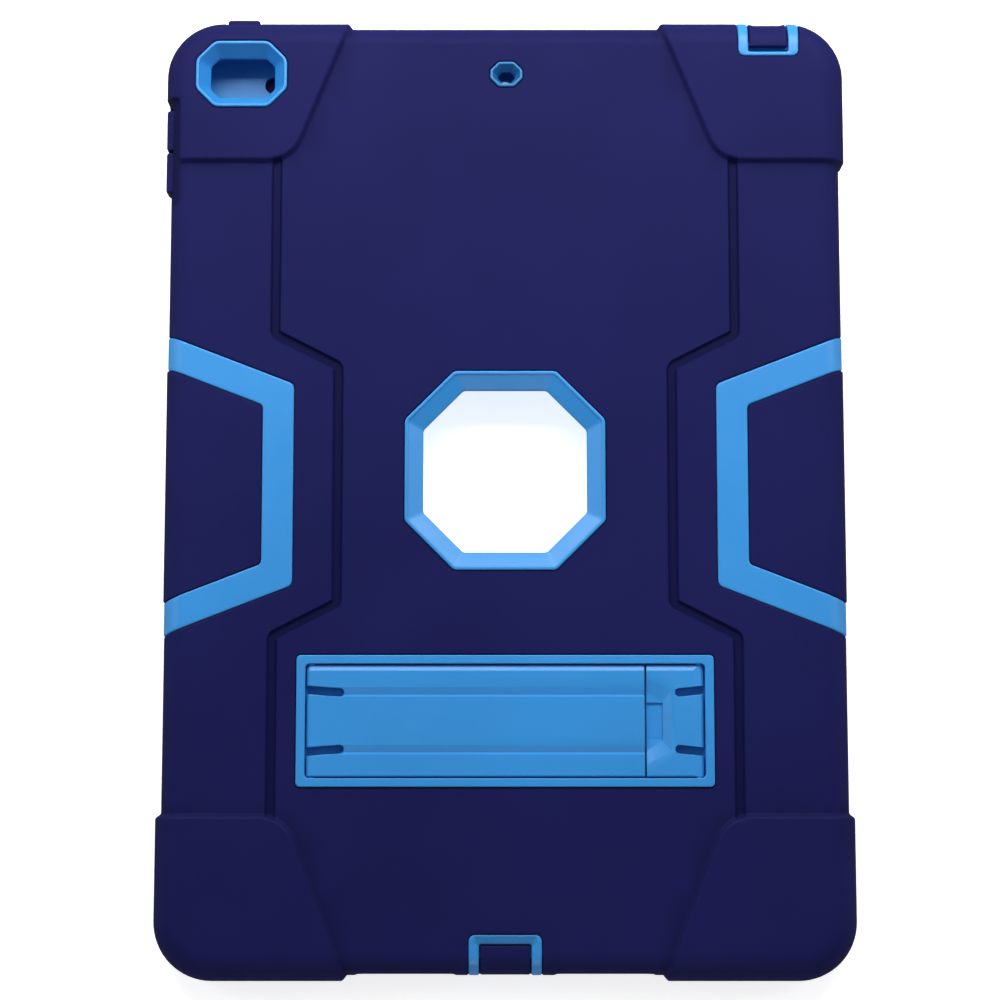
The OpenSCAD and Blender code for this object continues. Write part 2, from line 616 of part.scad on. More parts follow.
module outer_skin() color(soft_navy) difference() {
    union() {
        difference() {
            plate(body, body_r, 0, z_skin, back_edge_r, front_edge_r);
            both_sides() prism(strip(groove_path, groove_w), z_skin - groove_depth, z_skin + wall_lap);
        }
        intersection() {
            plate(bumper, bumper_r, 0, z_bumper, bumper_edge_r, front_edge_r);
            bumper_corners();
        }
        intersection() {
            plate(body + [2 * panel_side, 0], body_r, 0, z_skin, back_edge_r, front_edge_r);
            both_sides() prism(panel_outline, -wall_lap, z_skin + wall_lap);
        }
    }
    plate(shell, shell_r, z_lip, z_shell);
    plate([tablet_w - 2 * (bezel_side - lip_back), tablet_h - 2 * (bezel_end - lip_back)],
          front_window_r + lip_back, -wall_lap, z_lip + wall_lap);
    translate(home_pos) cylinder(h = far, d = home_d + lip_back, center = true);
    translate(front_camera_pos) cylinder(h = far, d = front_camera_d + lip_back, center = true);
    prism(cut_rect((window_outer + 2 * window_gap) * [1, 1], window_chamfer + gap_cut, window_turn_r),
          z_shell - wall_lap, z_skin + wall_lap, window_pos);
    prism(cut_rect(camera_outer + 2 * window_gap * [1, 1], camera_chamfer + gap_cut, camera_outer_r),
          z_shell - wall_lap, z_bumper + wall_lap, camera_pos);
    prism(cut_rect(mic_outer + 2 * window_gap * [1, 1], mic_cut + gap_cut, mic_outer_r),
          z_shell - wall_lap, z_skin + wall_lap, mic_pos);
    prism(rect(tray_outer + 2 * window_gap * [1, 1]), z_shell - wall_lap, z_skin + wall_lap, stand_pos);
    both_sides() prism(chevron_outline(window_gap), chevron_low - window_gap, z_skin + wall_lap);
    translate([audio_x, 0]) {
        port_space(audio_w, audio_reach, post_low, window_gap);
        port_space(audio_w - 2 * post_w, skin_side - wall_lap, z_lip);
    }
    rotate([0, 0, 180]) {
        port_space(charge_w, charge_reach, post_low, window_gap);
        port_space(charge_w - 2 * post_w, skin_side - wall_lap, z_lip);
    }
    for (s = [-1, 1]) let (x = s > 0 ? speaker_in : -speaker_in - speaker_len, h = speaker_h / 2) {
        block([x, -body.y / 2 - wall_lap, z_mid - h], [x + speaker_len, -shell.y / 2 + wall_lap, z_mid + h]);
        block([x - speaker_rim, -body.y / 2 - wall_lap, z_mid - h - speaker_rim],
              [x + speaker_len + speaker_rim, -body.y / 2 + speaker_recess, z_mid + h + speaker_rim]);
    }
    translate([power_x, shell.y / 2]) pad_slot(power_len);
    translate([-shell.x / 2, volume_mid_y]) rotate([0, 0, 90]) pad_slot(2 * volume_len + volume_gap);
}

// cross-section of a stand plate (Y across, Z up), with bevelled sides and, if asked, long grooves
function stand_section(grooved) =
    let (w = leg_half_w, z1 = z_leg + leg_t, g = leg_groove_w / 2,
         c = (slot_y_in + slot_y_out) / 2 - groove_lean)
    let (half = concat([[w, z_leg], [w, z1 - leg_bevel_h], [w - leg_bevel_w, z1]],
                       grooved ? [[c + g, z1], [c, z1 - leg_groove_depth], [c - g, z1]] : []))
    concat(half, flip_x(half));

// stand plate from x0 to its hinge end past x_pivot, with trunnions and open-ended flex slots;
// the hinge is towards +X
module stand_plate(x0, slot_len, grooved) difference() {
    union() {
        rotate([90, 0, 90]) translate([0, 0, x0])
            linear_extrude(pivot_x - x0) polygon(stand_section(grooved));
        intersection() {
            rotate([90, 0, 90]) translate([0, 0, pivot_x - eps])
                linear_extrude(knuckle_r + wall_lap) polygon(stand_section(false));
            translate([pivot_x, 0, z_pivot]) rotate([90, 0, 0])
                cylinder(h = 2 * leg_half_w + wall_lap, r = knuckle_r, center = true);
        }
        translate([pivot_x, 0, z_pivot]) rotate([90, 0, 0])
            cylinder(h = 2 * (leg_half_w + trunnion_len), r = trunnion_r, center = true);
    }
    for (s = [-1, 1]) let (end = pivot_x + knuckle_r,
                           lean = s * atan((slot_y_out - slot_y_in) / (slot_len - slot_w / 2)))
        translate([end - slot_len + slot_w / 2, s * slot_y_in]) rotate([0, 0, lean]) {
            translate([0, 0, z_leg - wall_lap]) cylinder(h = leg_t + 2 * wall_lap, d = slot_w);
            block([0, -slot_w / 2, z_leg - wall_lap],
                  [slot_len + wall_lap, slot_w / 2, z_leg + leg_t + wall_lap]);
        }
}

module stand_leg() color(hard_blue) translate(stand_pos) mirror([1, 0, 0])
    stand_plate(-leg_end_x, leg_slot_len, true);

// outline of the foot's scoop at one height: half widths a at the free end and b at length along
function scoop_outline(a, b, length) = let (x0 = foot_end_x - wall_lap, x1 = foot_end_x + length)
    [[x0, a], [x0, -a], [x1, -b], [x1, b]];

module stand_foot() color(hard_blue) translate(stand_pos) difference() {
    stand_plate(foot_end_x, foot_slot_len, false);
    funnel(scoop_outline(scoop_low_wide, scoop_low_narrow, scoop_low_len),
           scoop_outline(scoop_wide / 2 + scoop_spread, scoop_narrow / 2, scoop_len),
           z_leg + leg_t - scoop_depth, z_leg + leg_t + eps, [0, 0]);
    block([foot_end_x - wall_lap, -pocket_w / 2, z_leg + pocket_floor],
          [foot_end_x + scoop_len - pocket_short, pocket_w / 2, z_leg + leg_t]);
}

// flap over a port at the +Y edge: w wide, its outer face at y and z, its free end at y_end
module port_flap(w, y, z, edge_r, y_end, plug_w) {
    outer = arc([y - edge_r, z - edge_r], edge_r, 0, 90);
    inner = arc([y - edge_r, z - edge_r], edge_r - flap_t, 90, 0);
    yh = y - flap_t / 2;
    rotate([90, 0, 90]) {
        linear_extrude(w, center = true) polygon(concat([[y, flap_hinge_z]], outer,
            [[y_end, z], [y_end, z - flap_t]], inner, [[y - flap_t, flap_hinge_z]]));
        translate([yh, flap_hinge_z, 0]) cylinder(h = w, r = flap_t / 2 - eps, center = true);
    }
    block([-plug_w / 2, cav.y / 2 + plug_clear, z_mid - plug_h / 2], [plug_w / 2, yh, z_mid + plug_h / 2]);
}

module audio_port_flap() color(soft_navy) translate([audio_x, 0])
    port_flap(audio_w - 2 * (post_w + flap_gap), audio_face_y, audio_face_z, bumper_edge_r,
              body.y / 2 - audio_reach + audio_bar + audio_end_gap, audio_plug_w);

module charge_port_flap() color(soft_navy) rotate([0, 0, 180])
    port_flap(charge_w - 2 * (post_w + flap_gap), charge_face_y, charge_face_z, back_edge_r,
              body.y / 2 - charge_reach + charge_bar + charge_end_gap, charge_plug_w);

// press pad; the wall's inner face is Y = 0, outwards is +Y, and face is the pad's outer face
module press_pad(length, face) {
    block([-length / 2, flange_face, z_pad], [length / 2, face, z_pad + pad_h]);
    block([-length / 2, flange_face, z_pad - flange_reach],
          [length / 2, flange_face + flange_t, z_pad + pad_h + flange_reach]);
    block([-rib_size.x / 2, press_travel + rib_clear - shell_wall, z_mid - rib_size.y / 2],
          [rib_size.x / 2, flange_face + eps, z_mid + rib_size.y / 2]);
}

module power_button_pad() color(soft_navy) translate([power_x, shell.y / 2])
    press_pad(power_len, skin_side + bumper_side + power_proud);

module volume_pad(y) translate([-shell.x / 2, y]) rotate([0, 0, 90])
    press_pad(volume_len, skin_side + volume_proud);

module volume_up_pad() color(soft_navy) volume_pad(volume_up_y);

module volume_down_pad() color(soft_navy) volume_pad(volume_down_y);

back_shell();
front_frame();
outer_skin();
stand_leg();
stand_foot();
audio_port_flap();
charge_port_flap();
power_button_pad();
volume_up_pad();
volume_down_pad();
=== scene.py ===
"""Looks of a three-layer tablet case: silicone sleeve, polycarbonate shell and bezel, folding stand.

Shapes are worked out in millimetres and turned to metres when a mesh is made.
X is the case's width, Y its height with the camera end at +Y, and Z points out of its back.
"""

import json
import math

import bmesh
import bpy
import numpy as np
from bpy.props import FloatProperty, FloatVectorProperty, PointerProperty
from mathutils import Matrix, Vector
from mathutils.geometry import delaunay_2d_cdt


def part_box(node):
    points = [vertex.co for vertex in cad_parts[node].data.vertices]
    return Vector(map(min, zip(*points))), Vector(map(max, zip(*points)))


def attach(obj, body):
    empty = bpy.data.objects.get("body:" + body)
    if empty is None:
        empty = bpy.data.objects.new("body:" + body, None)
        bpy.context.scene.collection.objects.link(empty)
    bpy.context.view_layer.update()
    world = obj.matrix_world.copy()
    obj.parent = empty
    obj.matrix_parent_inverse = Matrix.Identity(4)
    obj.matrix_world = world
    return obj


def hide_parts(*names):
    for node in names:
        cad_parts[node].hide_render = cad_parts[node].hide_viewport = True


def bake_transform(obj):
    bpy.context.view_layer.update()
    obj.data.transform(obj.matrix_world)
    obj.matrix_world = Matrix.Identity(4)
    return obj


bl_info = {
    "name": "Tablet case",
    "version": (1, 0, 0),
    "blender": (4, 5, 0),
    "location": "3D View > Sidebar > Tablet case",
    "description": "Builds a rugged tablet case with a folding stand round its packed frame",
    "category": "Add Mesh",
}

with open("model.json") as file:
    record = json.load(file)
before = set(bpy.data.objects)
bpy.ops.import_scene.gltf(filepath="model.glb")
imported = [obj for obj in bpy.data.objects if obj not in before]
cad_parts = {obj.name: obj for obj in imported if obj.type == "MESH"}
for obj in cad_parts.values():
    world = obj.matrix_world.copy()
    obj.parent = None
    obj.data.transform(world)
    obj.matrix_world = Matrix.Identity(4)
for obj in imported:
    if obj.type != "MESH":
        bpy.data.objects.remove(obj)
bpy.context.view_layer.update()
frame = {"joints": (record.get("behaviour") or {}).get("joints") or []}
MM = 0.001


def node_box(name):
    """Lowest and highest corner of a CAD node, in millimetres."""
    return [np.array(corner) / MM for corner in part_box(name)]


HINGES = {j["name"]: np.array(j["pos_m"]) / MM for j in frame["joints"] if "pos_m" in j}

# overall sizes, from the frame
BUMPER_SIDE = 1.6
BUMPER_BACK = 1.2
BUMPER = node_box("outer_skin")[1]
BODY = BUMPER - [BUMPER_SIDE, BUMPER_SIDE, BUMPER_BACK]
SHELL = node_box("front_frame")[1][:2]
Z_LIP = node_box("front_frame")[0][2]
SHELL_R = 9.75
WALL = 2.0
CAVITY = SHELL - WALL
Z_BEZEL = Z_LIP + 1.5
Z_PART = Z_BEZEL + 2.0
Z_FLOOR = Z_BEZEL + 7.7
Z_SHELL = Z_FLOOR + 1.6
Z_SKIN = BODY[2]
Z_COLLAR = Z_SKIN + 0.5
Z_MID = Z_BEZEL + 3.75

# how far the bumpers run down the long sides, and in from them at their inner and outer corner
CAMERA_BUMPER, FOOT_BUMPER = 39.6, 42.8
BUMPER_REACH = (34.2, 50.4)

# the body's rolled back edge and front edge
BACK_R = 6.0
FRONT_R = 1.8
FLAT = BODY[:2] - BACK_R
FLAT_R = SHELL_R + 4.7 - BACK_R
ROLL = BACK_R * math.pi / 2
WALL_END = ROLL + Z_SKIN - BACK_R - FRONT_R
RIM_END = WALL_END + FRONT_R * math.pi / 2

CAMERA = np.array([20.0 - BODY[0], BODY[1] - 14.8])
MICROPHONE = np.array([0.4, BODY[1] - 14.6])
WINDOW = np.array([0.0, 5.2])
# each collar's middle, then size, chamfer and corner radius of its outside, its lip and its opening
COLLARS = {
    "window": (WINDOW, ((55.4, 55.4), 13.6, 2.2), ((53.4, 53.4), 13.0, 1.8), ((45.3, 45.3), 11.12, 1.8)),
    "camera": (CAMERA, ((25.6, 19.0), 5.3, 3.0), ((23.8, 17.2), 4.7, 2.6), ((18.1, 11.6), 2.5, 1.8)),
    "microphone": (MICROPHONE, ((9.1, 7.2), 2.4, 1.2), ((7.5, 5.6), 1.9, 0.9), ((4.6, 3.4), 1.2, 0.7)),
}
TRAY_OUTER = np.array([113.9, 35.8]) / 2
TRAY_INNER = np.array([109.0, 31.1]) / 2
STAND = HINGES["leg_hinge"][:2] * [0, 1]
CHEVRON = dict(y=1.3, slope=math.radians(21.2), wide=8.65, half=28.0, reach=35.6, low=4.2)


# ---------------------------------------------------------------- outlines

def unit(v):
    """The same direction, one long."""
    return np.asarray(v, float) / np.linalg.norm(v)


def rounded(corners, radii, steps=6):
    """Closed outline with each corner rounded to its radius by an arc of that many steps."""
    corners = [np.asarray(c, float) for c in corners]
    radii = [radii] * len(corners) if np.isscalar(radii) else radii
    out = []
    for i, (corner, r) in enumerate(zip(corners, radii)):
        if r < 1e-6:
            out.append(corner)
            continue
        u = unit(corners[i - 1] - corner)
        v = unit(corners[(i + 1) % len(corners)] - corner)
        half = math.acos(np.clip(u @ v, -1, 1)) / 2
        centre = corner + unit(u + v) * r / math.sin(half)
        first = corner + u * r / math.tan(half) - centre
        start = math.atan2(first[1], first[0])
        sweep = (math.pi - 2 * half) * (-1 if u[0] * v[1] - u[1] * v[0] > 0 else 1)
        for k in range(steps + 1):
            a = start + sweep * k / steps
            out.append(centre + r * np.array([math.cos(a), math.sin(a)]))
    return np.array(out)


def rectangle(half, r, at=(0, 0), steps=6):
    """Rounded rectangle from its half sizes, anticlockwise."""
    x, y = half
    return rounded([(x, -y), (x, y), (-x, y), (-x, -y)], r, steps) + at


def cut_rectangle(size, chamfer, r, at=(0, 0), steps=5):
    """Rectangle with chamfered corners, each end of a chamfer rounded."""
    x, y = np.asarray(size) / 2
    c = chamfer
    corners = [(x, c - y), (x, y - c), (x - c, y), (c - x, y),
               (-x, y - c), (-x, c - y), (c - x, -y), (x - c, -y)]
    return rounded(corners, r, steps) + at


def resampled(line, step, closed=True):
    """The line with every stretch longer than step divided evenly."""
    ends = np.roll(line, -1, 0) if closed else line[1:]
    out = []
    for a, b in zip(line, ends):
        n = max(1, math.ceil(np.linalg.norm(b - a) / step - 1e-6))
        out.extend(a + (b - a) * k / n for k in range(n))
    if not closed:
        out.append(line[-1])
    return np.array(out)


def offset(line, d, closed=True):
    """The line moved d to its right, which is outwards on an outline that runs anticlockwise."""
    if closed:
        before, after = line - np.roll(line, 1, 0), np.roll(line, -1, 0) - line
    else:
        steps = np.diff(line, axis=0)
        before, after = np.vstack([steps[:1], steps]), np.vstack([steps, steps[-1:]])
    n1 = np.stack([before[:, 1], -before[:, 0]], 1) / np.linalg.norm(before, axis=1)[:, None]
    n2 = np.stack([after[:, 1], -after[:, 0]], 1) / np.linalg.norm(after, axis=1)[:, None]
    return line + d * (n1 + n2) / np.maximum(1 + (n1 * n2).sum(1), 0.3)[:, None]


def distance(points, line, closed=True):
    """Distance of each point from the line."""
    ends = np.roll(line, -1, 0) if closed else line[1:]
    best = np.full(len(points), np.inf)
    for a, b in zip(line, ends):
        d = b - a
        along = np.clip((points - a) @ d / max(d @ d, 1e-12), 0, 1)
        best = np.minimum(best, np.hypot(*(points - a - along[:, None] * d).T))
    return best


def inside(points, line):
    """True for each point inside the closed outline."""
    odd = np.zeros(len(points), bool)
    x, y = points.T
    for (ax, ay), (bx, by) in zip(line, np.roll(line, -1, 0)):
        crosses = (ay > y) != (by > y)
        if crosses.any():
            odd[crosses] ^= x[crosses] < ax + (y[crosses] - ay) * (bx - ax) / (by - ay)
    return odd


def depth_in(points, line, reach):
    """Signed distance from a closed outline, negative inside, measured only within reach of it."""
    near = ((points > line.min(0) - reach) & (points < line.max(0) + reach)).all(1)
    out = np.full(len(points), float(reach))
    q = points[near]
    out[near] = np.where(inside(q, line), -1, 1) * distance(q, line)
    return out


def smooth(x):
    """Smooth step from 0 to 1."""
    x = np.clip(x, 0, 1)
    return x * x * x * (x * (6 * x - 15) + 10)


def rim_drop(d, r):
    """How far a rounded rim of radius r lies below the surface at distance d from its edge."""
    d = np.clip(d, 0, r)
    return r - np.sqrt(np.maximum(r * r - (r - d) ** 2, 0))


def rim_rows(line, r, side=1):
    """The outline and the rows beside it that a rounded rim needs."""
    return [(offset(line, side * r * share), True) for share in (0, 0.12, 0.35, 0.65, 1.0)]


# ---------------------------------------------------------------- meshes

def triangles(lines, points=()):
    """Triangles over all the lines, which stay edges. Lines are (points, closed)."""
    flat, edges = [], []
    for line, closed in lines:
        first = len(flat)
        flat.extend(Vector(p) for p in line)
        edges.extend((k, k + 1) for k in range(first, len(flat) - 1))
        if closed:
            edges.append((len(flat) - 1, first))
    flat.extend(Vector(p) for p in points)
    made = delaunay_2d_cdt(flat, edges, [], 0, 1e-4, False)
    return np.array([v[:] for v in made[0]], float), np.array([f[:] for f in made[2]])


def used_only(flat, tris):
    """The same triangles, with points that none of them uses left out."""
    used, renamed = np.unique(tris, return_inverse=True)
    return flat[used], renamed.reshape(-1, 3)


def border(tris):
    """Edges that only one triangle has, each in that triangle's direction."""
    edges = np.vstack([tris[:, [0, 1]], tris[:, [1, 2]], tris[:, [2, 0]]])
    _, index, count = np.unique(np.sort(edges, 1), axis=0, return_index=True, return_counts=True)
    return edges[index[count == 1]]


def sheets(upper, lower, rim, top, bottom):
    """Two surfaces over their own triangles of the same points, with walls along the edges in rim."""
    n = len(top)
    faces = [tuple(t) for t in upper] + [tuple(t[::-1] + n) for t in lower]
    faces += [(a, a + n, b + n, b) for a, b in rim]
    return np.vstack([top, bottom]), faces


def slab(tris, top, bottom, walled=None):
    """Closed solid between two surfaces over the same triangles; walled marks the border edges to close."""
    rim = border(tris)
    if walled is not None:
        rim = rim[walled[rim].all(1)]
    return sheets(tris, tris, rim, top, bottom)


def loft(rows, ends=(False, False)):
    """Skin through rows of equally many points; an end is closed by one face if asked."""
    n = len(rows[0])
    faces = []
    for k in range(len(rows) - 1):
        for i in range(n):
            j = (i + 1) % n
            faces.append((k * n + i, k * n + j, (k + 1) * n + j, (k + 1) * n + i))
    if ends[0]:
        faces.append(tuple(range(n))[::-1])
    if ends[1]:
        faces.append(tuple(range((len(rows) - 1) * n, len(rows) * n)))
    return np.vstack(rows), faces


def at_height(line, z):
    """Plan points, all at one height."""
    return np.column_stack([line, np.full(len(line), float(z))])


def flat_sheet(outline, holes, z):
    """Flat face at one height, with its border points exactly those given."""
    flat, tris = triangles([(line, True) for line in [outline, *holes]])
    middle = flat[tris].mean(1)
    keep = inside(middle, outline)
    for hole in holes:
        keep &= ~inside(middle, hole)
    flat, tris = used_only(flat, tris[keep])
    return at_height(flat, z), [tuple(t) for t in tris]


def joined(parts):
    """Several point and face lists as one."""
    points, faces, first = [], [], 0
    for p, f in parts:
        points.append(p)
        faces.extend(tuple(int(k) + first for k in face) for face in f)
        first += len(p)
    return np.vstack(points), faces


def mesh_points(mesh):
    """A mesh's points in millimetres."""
    points = np.empty(3 * len(mesh.vertices), np.float32)
    mesh.vertices.foreach_get("co", points)
    return points.reshape(-1, 3) / MM


def mark_recess(mesh, values):
    """Stores how much shade is painted on each point, from 0 to 1, for the material to darken its colour by.
    """
    if "recess" in mesh.attributes:
        mesh.attributes.remove(mesh.attributes["recess"])
    mesh.attributes.new("recess", "FLOAT", "POINT").data.foreach_set("value", values.astype(np.float32))


def make_object(name, parts, material=None, weld=1e-6, crease=38, recess=None):
    """Mesh object from parts in millimetres: seams welded, faces outwards, smooth but for creases.
    The last argument gives the painted shade of each of the first part's outer points, from 0 to 1, highest
    deep in a groove."""
    points, faces = joined(parts)
    mesh = bpy.data.meshes.new(name)
    mesh.from_pydata((points * MM).tolist(), [], faces)
    # painted shade, stored on every point: none but where the caller gives it
    deep = np.zeros(len(points))
    if recess is not None:
        deep[:len(recess)] = recess
    mark_recess(mesh, deep)
    work = bmesh.new()
    work.from_mesh(mesh)
    bmesh.ops.remove_doubles(work, verts=work.verts, dist=weld)
    bmesh.ops.dissolve_degenerate(work, edges=work.edges, dist=1e-8)
    bmesh.ops.recalc_face_normals(work, faces=work.faces)
    if all(edge.is_manifold for edge in work.edges) and work.calc_volume(signed=True) < 0:
        bmesh.ops.reverse_faces(work, faces=work.faces)
    work.to_mesh(mesh)
    work.free()
    finish_shading(mesh, crease)
    piece = bpy.data.objects.new(name, mesh)
    bpy.context.scene.collection.objects.link(piece)
    if material:
        mesh.materials.append(material)
    return piece


def finish_shading(mesh, crease=38):
    """Smooth shading that breaks where faces meet at more than crease degrees."""
    mesh.shade_smooth()
    mesh.set_sharp_from_angle(angle=math.radians(crease))


def weighted(piece):
    """Lets the large faces decide how each rim is shaded, so level areas look level."""
    step = piece.modifiers.new("weighted", "WEIGHTED_NORMAL")
    step.keep_sharp = True
    graph = bpy.context.evaluated_depsgraph_get()
    made = bpy.data.meshes.new_from_object(piece.evaluated_get(graph), preserve_all_data_layers=True,
                                           depsgraph=graph)
    piece.modifiers.remove(step)
    piece.data = made
    return piece


def combine(target, tool, how):
    """Boolean of two closed objects; the tool is used up."""
    step = target.modifiers.new("combine", "BOOLEAN")
    step.operation = how
    step.solver = "MANIFOLD"
    step.object = tool
    graph = bpy.context.evaluated_depsgraph_get()
    made = bpy.data.meshes.new_from_object(target.evaluated_get(graph), preserve_all_data_layers=True,
                                           depsgraph=graph)
    target.modifiers.remove(step)
    target.data = made
    bpy.data.objects.remove(tool)
    finish_shading(made)
    return target


def box_part(low, high):
    """Plain block, used only to cut with."""
    (x0, y0, z0), (x1, y1, z1) = low, high
    sides = np.array([(x0, y0), (x1, y0), (x1, y1), (x0, y1)])
    return loft([at_height(sides, z0), at_height(sides, z1)], (True, True))


# ---------------------------------------------------------------- the sleeve's outside

def ring(flat, half=None, r=None):
    """How far each flat point lies out past a rounded rectangle, by default the level back, and the
    way outwards there."""
    half, r = (FLAT, FLAT_R) if half is None else (half, r)
    q = np.abs(flat) - (half - r)
    sign = np.where(flat < 0, -1.0, 1.0)
    corner = (q > 0).all(1)
    length = np.maximum(np.hypot(*np.maximum(q, 0).T), 1e-9)
    t = np.where(corner, length, q.max(1)) - r
    sideways = q[:, 0] > q[:, 1]
    axis = np.stack([sideways, ~sideways], 1).astype(float)
    out = np.where(corner[:, None], np.maximum(q, 0) / length[:, None], axis) * sign
    return t, out


def wrapped(flat):
    """Points and outward normals of the body, for points of its unrolled surface."""
    t, out = ring(flat)
    base = flat - out * np.maximum(t, 0)[:, None]
    roll = np.clip(t / BACK_R, 0, math.pi / 2)
    tuck = np.clip((t - WALL_END) / FRONT_R, 0, math.pi / 2)
    reach = BACK_R * np.sin(roll) - FRONT_R * (1 - np.cos(tuck))
    z = (Z_SKIN - BACK_R * (1 - np.cos(roll)) - np.clip(t - ROLL, 0, WALL_END - ROLL)
         - FRONT_R * np.sin(tuck))
    level = np.sin(roll) * np.cos(tuck)
    points = np.column_stack([base + out * reach[:, None], z])
    normals = np.column_stack([out * level[:, None], np.cos(roll) - np.sin(tuck)])
    return points, normals


def lining(flat, sink=0.0):
    """Points of the hard shell's outside that lie under the same unrolled points, or a little deeper."""
    t, out = ring(flat)
    base = flat - out * np.maximum(t, 0)[:, None]
    turn = ROLL * 0.5
    reach = (SHELL[0] - FLAT[0] - sink) * np.clip(t / turn, 0, 1)
    z = Z_SHELL - (Z_SHELL - Z_LIP) * np.clip((t - turn) / (RIM_END - turn), 0, 1)
    if sink:
        z = np.clip(z, Z_PART + 0.1, Z_SHELL - sink)
    return np.column_stack([base + out * reach[:, None], z])


def roll_of_plan(d):
    """Unrolled distance past the level back, for a plan distance; past the side it goes down the wall."""
    d = np.asarray(d, float)
    rolled = BACK_R * np.arcsin(np.clip(d / BACK_R, 0, 1))
    return np.where(d <= 0, d, rolled + np.maximum(d - BACK_R, 0))


def laid(outline, side, closed=True):
    """Plan outline laid over an edge. side is the axis that runs outwards, 0 or 1, and points
    past the side wall count as that far down it."""
    ends = np.roll(outline, -1, 0) if closed else outline[1:]
    out = []
    for a, b in zip(outline, ends):
        fine = a + (b - a) * np.linspace(0, 1, 241)[:, None]
        sign = np.where(fine[:, side] < 0, -1, 1)
        fine[:, side] = sign * (FLAT[side] + roll_of_plan(np.abs(fine[:, side]) - FLAT[side]))
        run = np.concatenate([[0], np.cumsum(np.hypot(*np.diff(fine, axis=0).T))])
        on_roll = np.abs(fine[:, side]).max() > FLAT[side]
        n = max(1, math.ceil(run[-1] / (0.9 if on_roll else 4.0)))
        at = np.interp(np.linspace(0, run[-1], n + 1)[:-1], run, np.arange(241))
        out.extend(fine[np.round(at).astype(int)])
    if not closed:
        out.append(fine[-1])
    return np.array(out)


def mirrored(line):
    """The same outline on the other side, still anticlockwise."""
    return (line * [-1, 1])[::-1]


def bumper_outline(top):
    """Right-hand bumper at the camera end or the foot end, with its turned corner."""
    y0, y1 = BODY[1] - (CAMERA_BUMPER if top else FOOT_BUMPER), BODY[1]
    x0, x1 = BODY[0] - BUMPER_REACH[0], BODY[0] - BUMPER_REACH[1]
    far = RIM_END + 12
    line = rounded([(BODY[0] + far, y0), (BODY[0] + far, y1 + far), (x1, y1 + far), (x1, y1), (x0, y0)],
                   [0, 0, 0, 0, 10.0], 10)
    line = laid(laid(line, 0), 1)
    return line if top else (line * [1, -1])[::-1]


# widths of the soft step at a bumper's edge and of the slope round its cut
STEP_W = 2.0
CUT_SLOPE = 1.2


def bumper_share(flat):
    """1 on the bumpers, 0 off them, with a soft step between."""
    share = np.zeros(len(flat))
    for line in BUMPER_OUTLINES:
        share = np.maximum(share, smooth(0.5 - depth_in(flat, line, STEP_W) / STEP_W))
    return share * smooth(0.5 + depth_in(flat, bumper_cut(), CUT_SLOPE) / CUT_SLOPE)


BUMPER_OUTLINES = [f(bumper_outline(top)) for top in (True, False) for f in (np.array, mirrored)]


def bumper_cut():
    """Where the bumper is cut back round the volume pads."""
    return side_patch(VOLUME[0][0][1] - 4, VOLUME[1][1][1] + 2.6, PAD_Z[0] - 1.4, Z_SKIN - 0.75, 1.2)


def bumper_shift(flat, normals, share):
    """How the bumpers move the surface: outwards, and below the side wall only sideways."""
    up = np.clip(normals[:, 2], 0, 1) ** 2
    rise = share * (BUMPER_BACK * up + BUMPER_SIDE * (1 - up))
    sideways = np.column_stack([ring(flat)[1], np.zeros(len(flat))])
    return np.where(normals[:, 2:] < 0, sideways, normals) * rise[:, None]


def chevron_outline(gap=0.0):
    """Right-hand chevron: an upright and two arms that wrap round the side, grown by gap."""
    wide = CHEVRON["wide"] + 2 * gap
    t, k = math.tan(CHEVRON["slope"]), 1 / math.cos(CHEVRON["slope"])
    x0, x1 = BODY[0] - CHEVRON["reach"] - gap, BODY[0]
    h = CHEVRON["half"] + gap * (k - t)
    ya, yb = h + (x1 - x0) * t, h + wide * (t - k)
    low = FLAT[0] + Z_SKIN - CHEVRON["low"] + gap
    right = [(x0 + wide, yb), (x1, ya - wide * k), (low, ya - wide * k), (low, ya), (x1, ya), (x0, h)]
    corners = right + [(x, -y) for x, y in right[::-1]]
    radii = [1.5, 0, 0.6, 0.6, 0, 2 + gap]
    return laid(rounded(corners, radii + radii[::-1], 5), 0) + [0, CHEVRON["y"]]


def panel_share(flat):
    """1 between a chevron's arms, 0 outside them."""
    slope = CHEVRON["slope"]
    edge = CHEVRON["half"] - 4.6 / math.cos(slope) + CHEVRON["reach"] * math.tan(slope)
    return smooth((edge + 2 - np.abs(flat[:, 1] - CHEVRON["y"])) / 4)


GROOVE_W = 3.1
GROOVE_WALL = 0.42
GROOVE_TURNS = np.array([(63.8, 96), (63.8, 42), (46.2, 33), (46.2, -33), (63.8, -42), (63.8, -96)])
GROOVE_PATH = rounded(GROOVE_TURNS + [0, CHEVRON["y"]], [0, 1.8, 1.8, 1.8, 1.8, 0], 5)
PANEL_SIDE = 0.4
GROOVE_DEPTH = 0.95
AUDIO_X = HINGES["audio_flap_hinge"][0]
PORTS = {
    "audio": dict(x=AUDIO_X, end=1, half=8.45, reach=9.45, bar=1.2, open=1.5, plug=5.5, on_bumper=1.0),
    "charge": dict(x=0.0, end=-1, half=9.9, reach=11.0, bar=2.5, open=0.4, plug=8.4, on_bumper=0.0),
}
POST_W = 2.8
POST_LOW = 3.3
HINGE_SLOT = 1.95
SURROUND_R = 1.8
FIT_GAP = 0.15
SPEAKER_X = (15.0, 39.0)
SPEAKER_HALF = 2.4
SPEAKER_RIM = 1.6
SPEAKER_DEPTH = 1.5


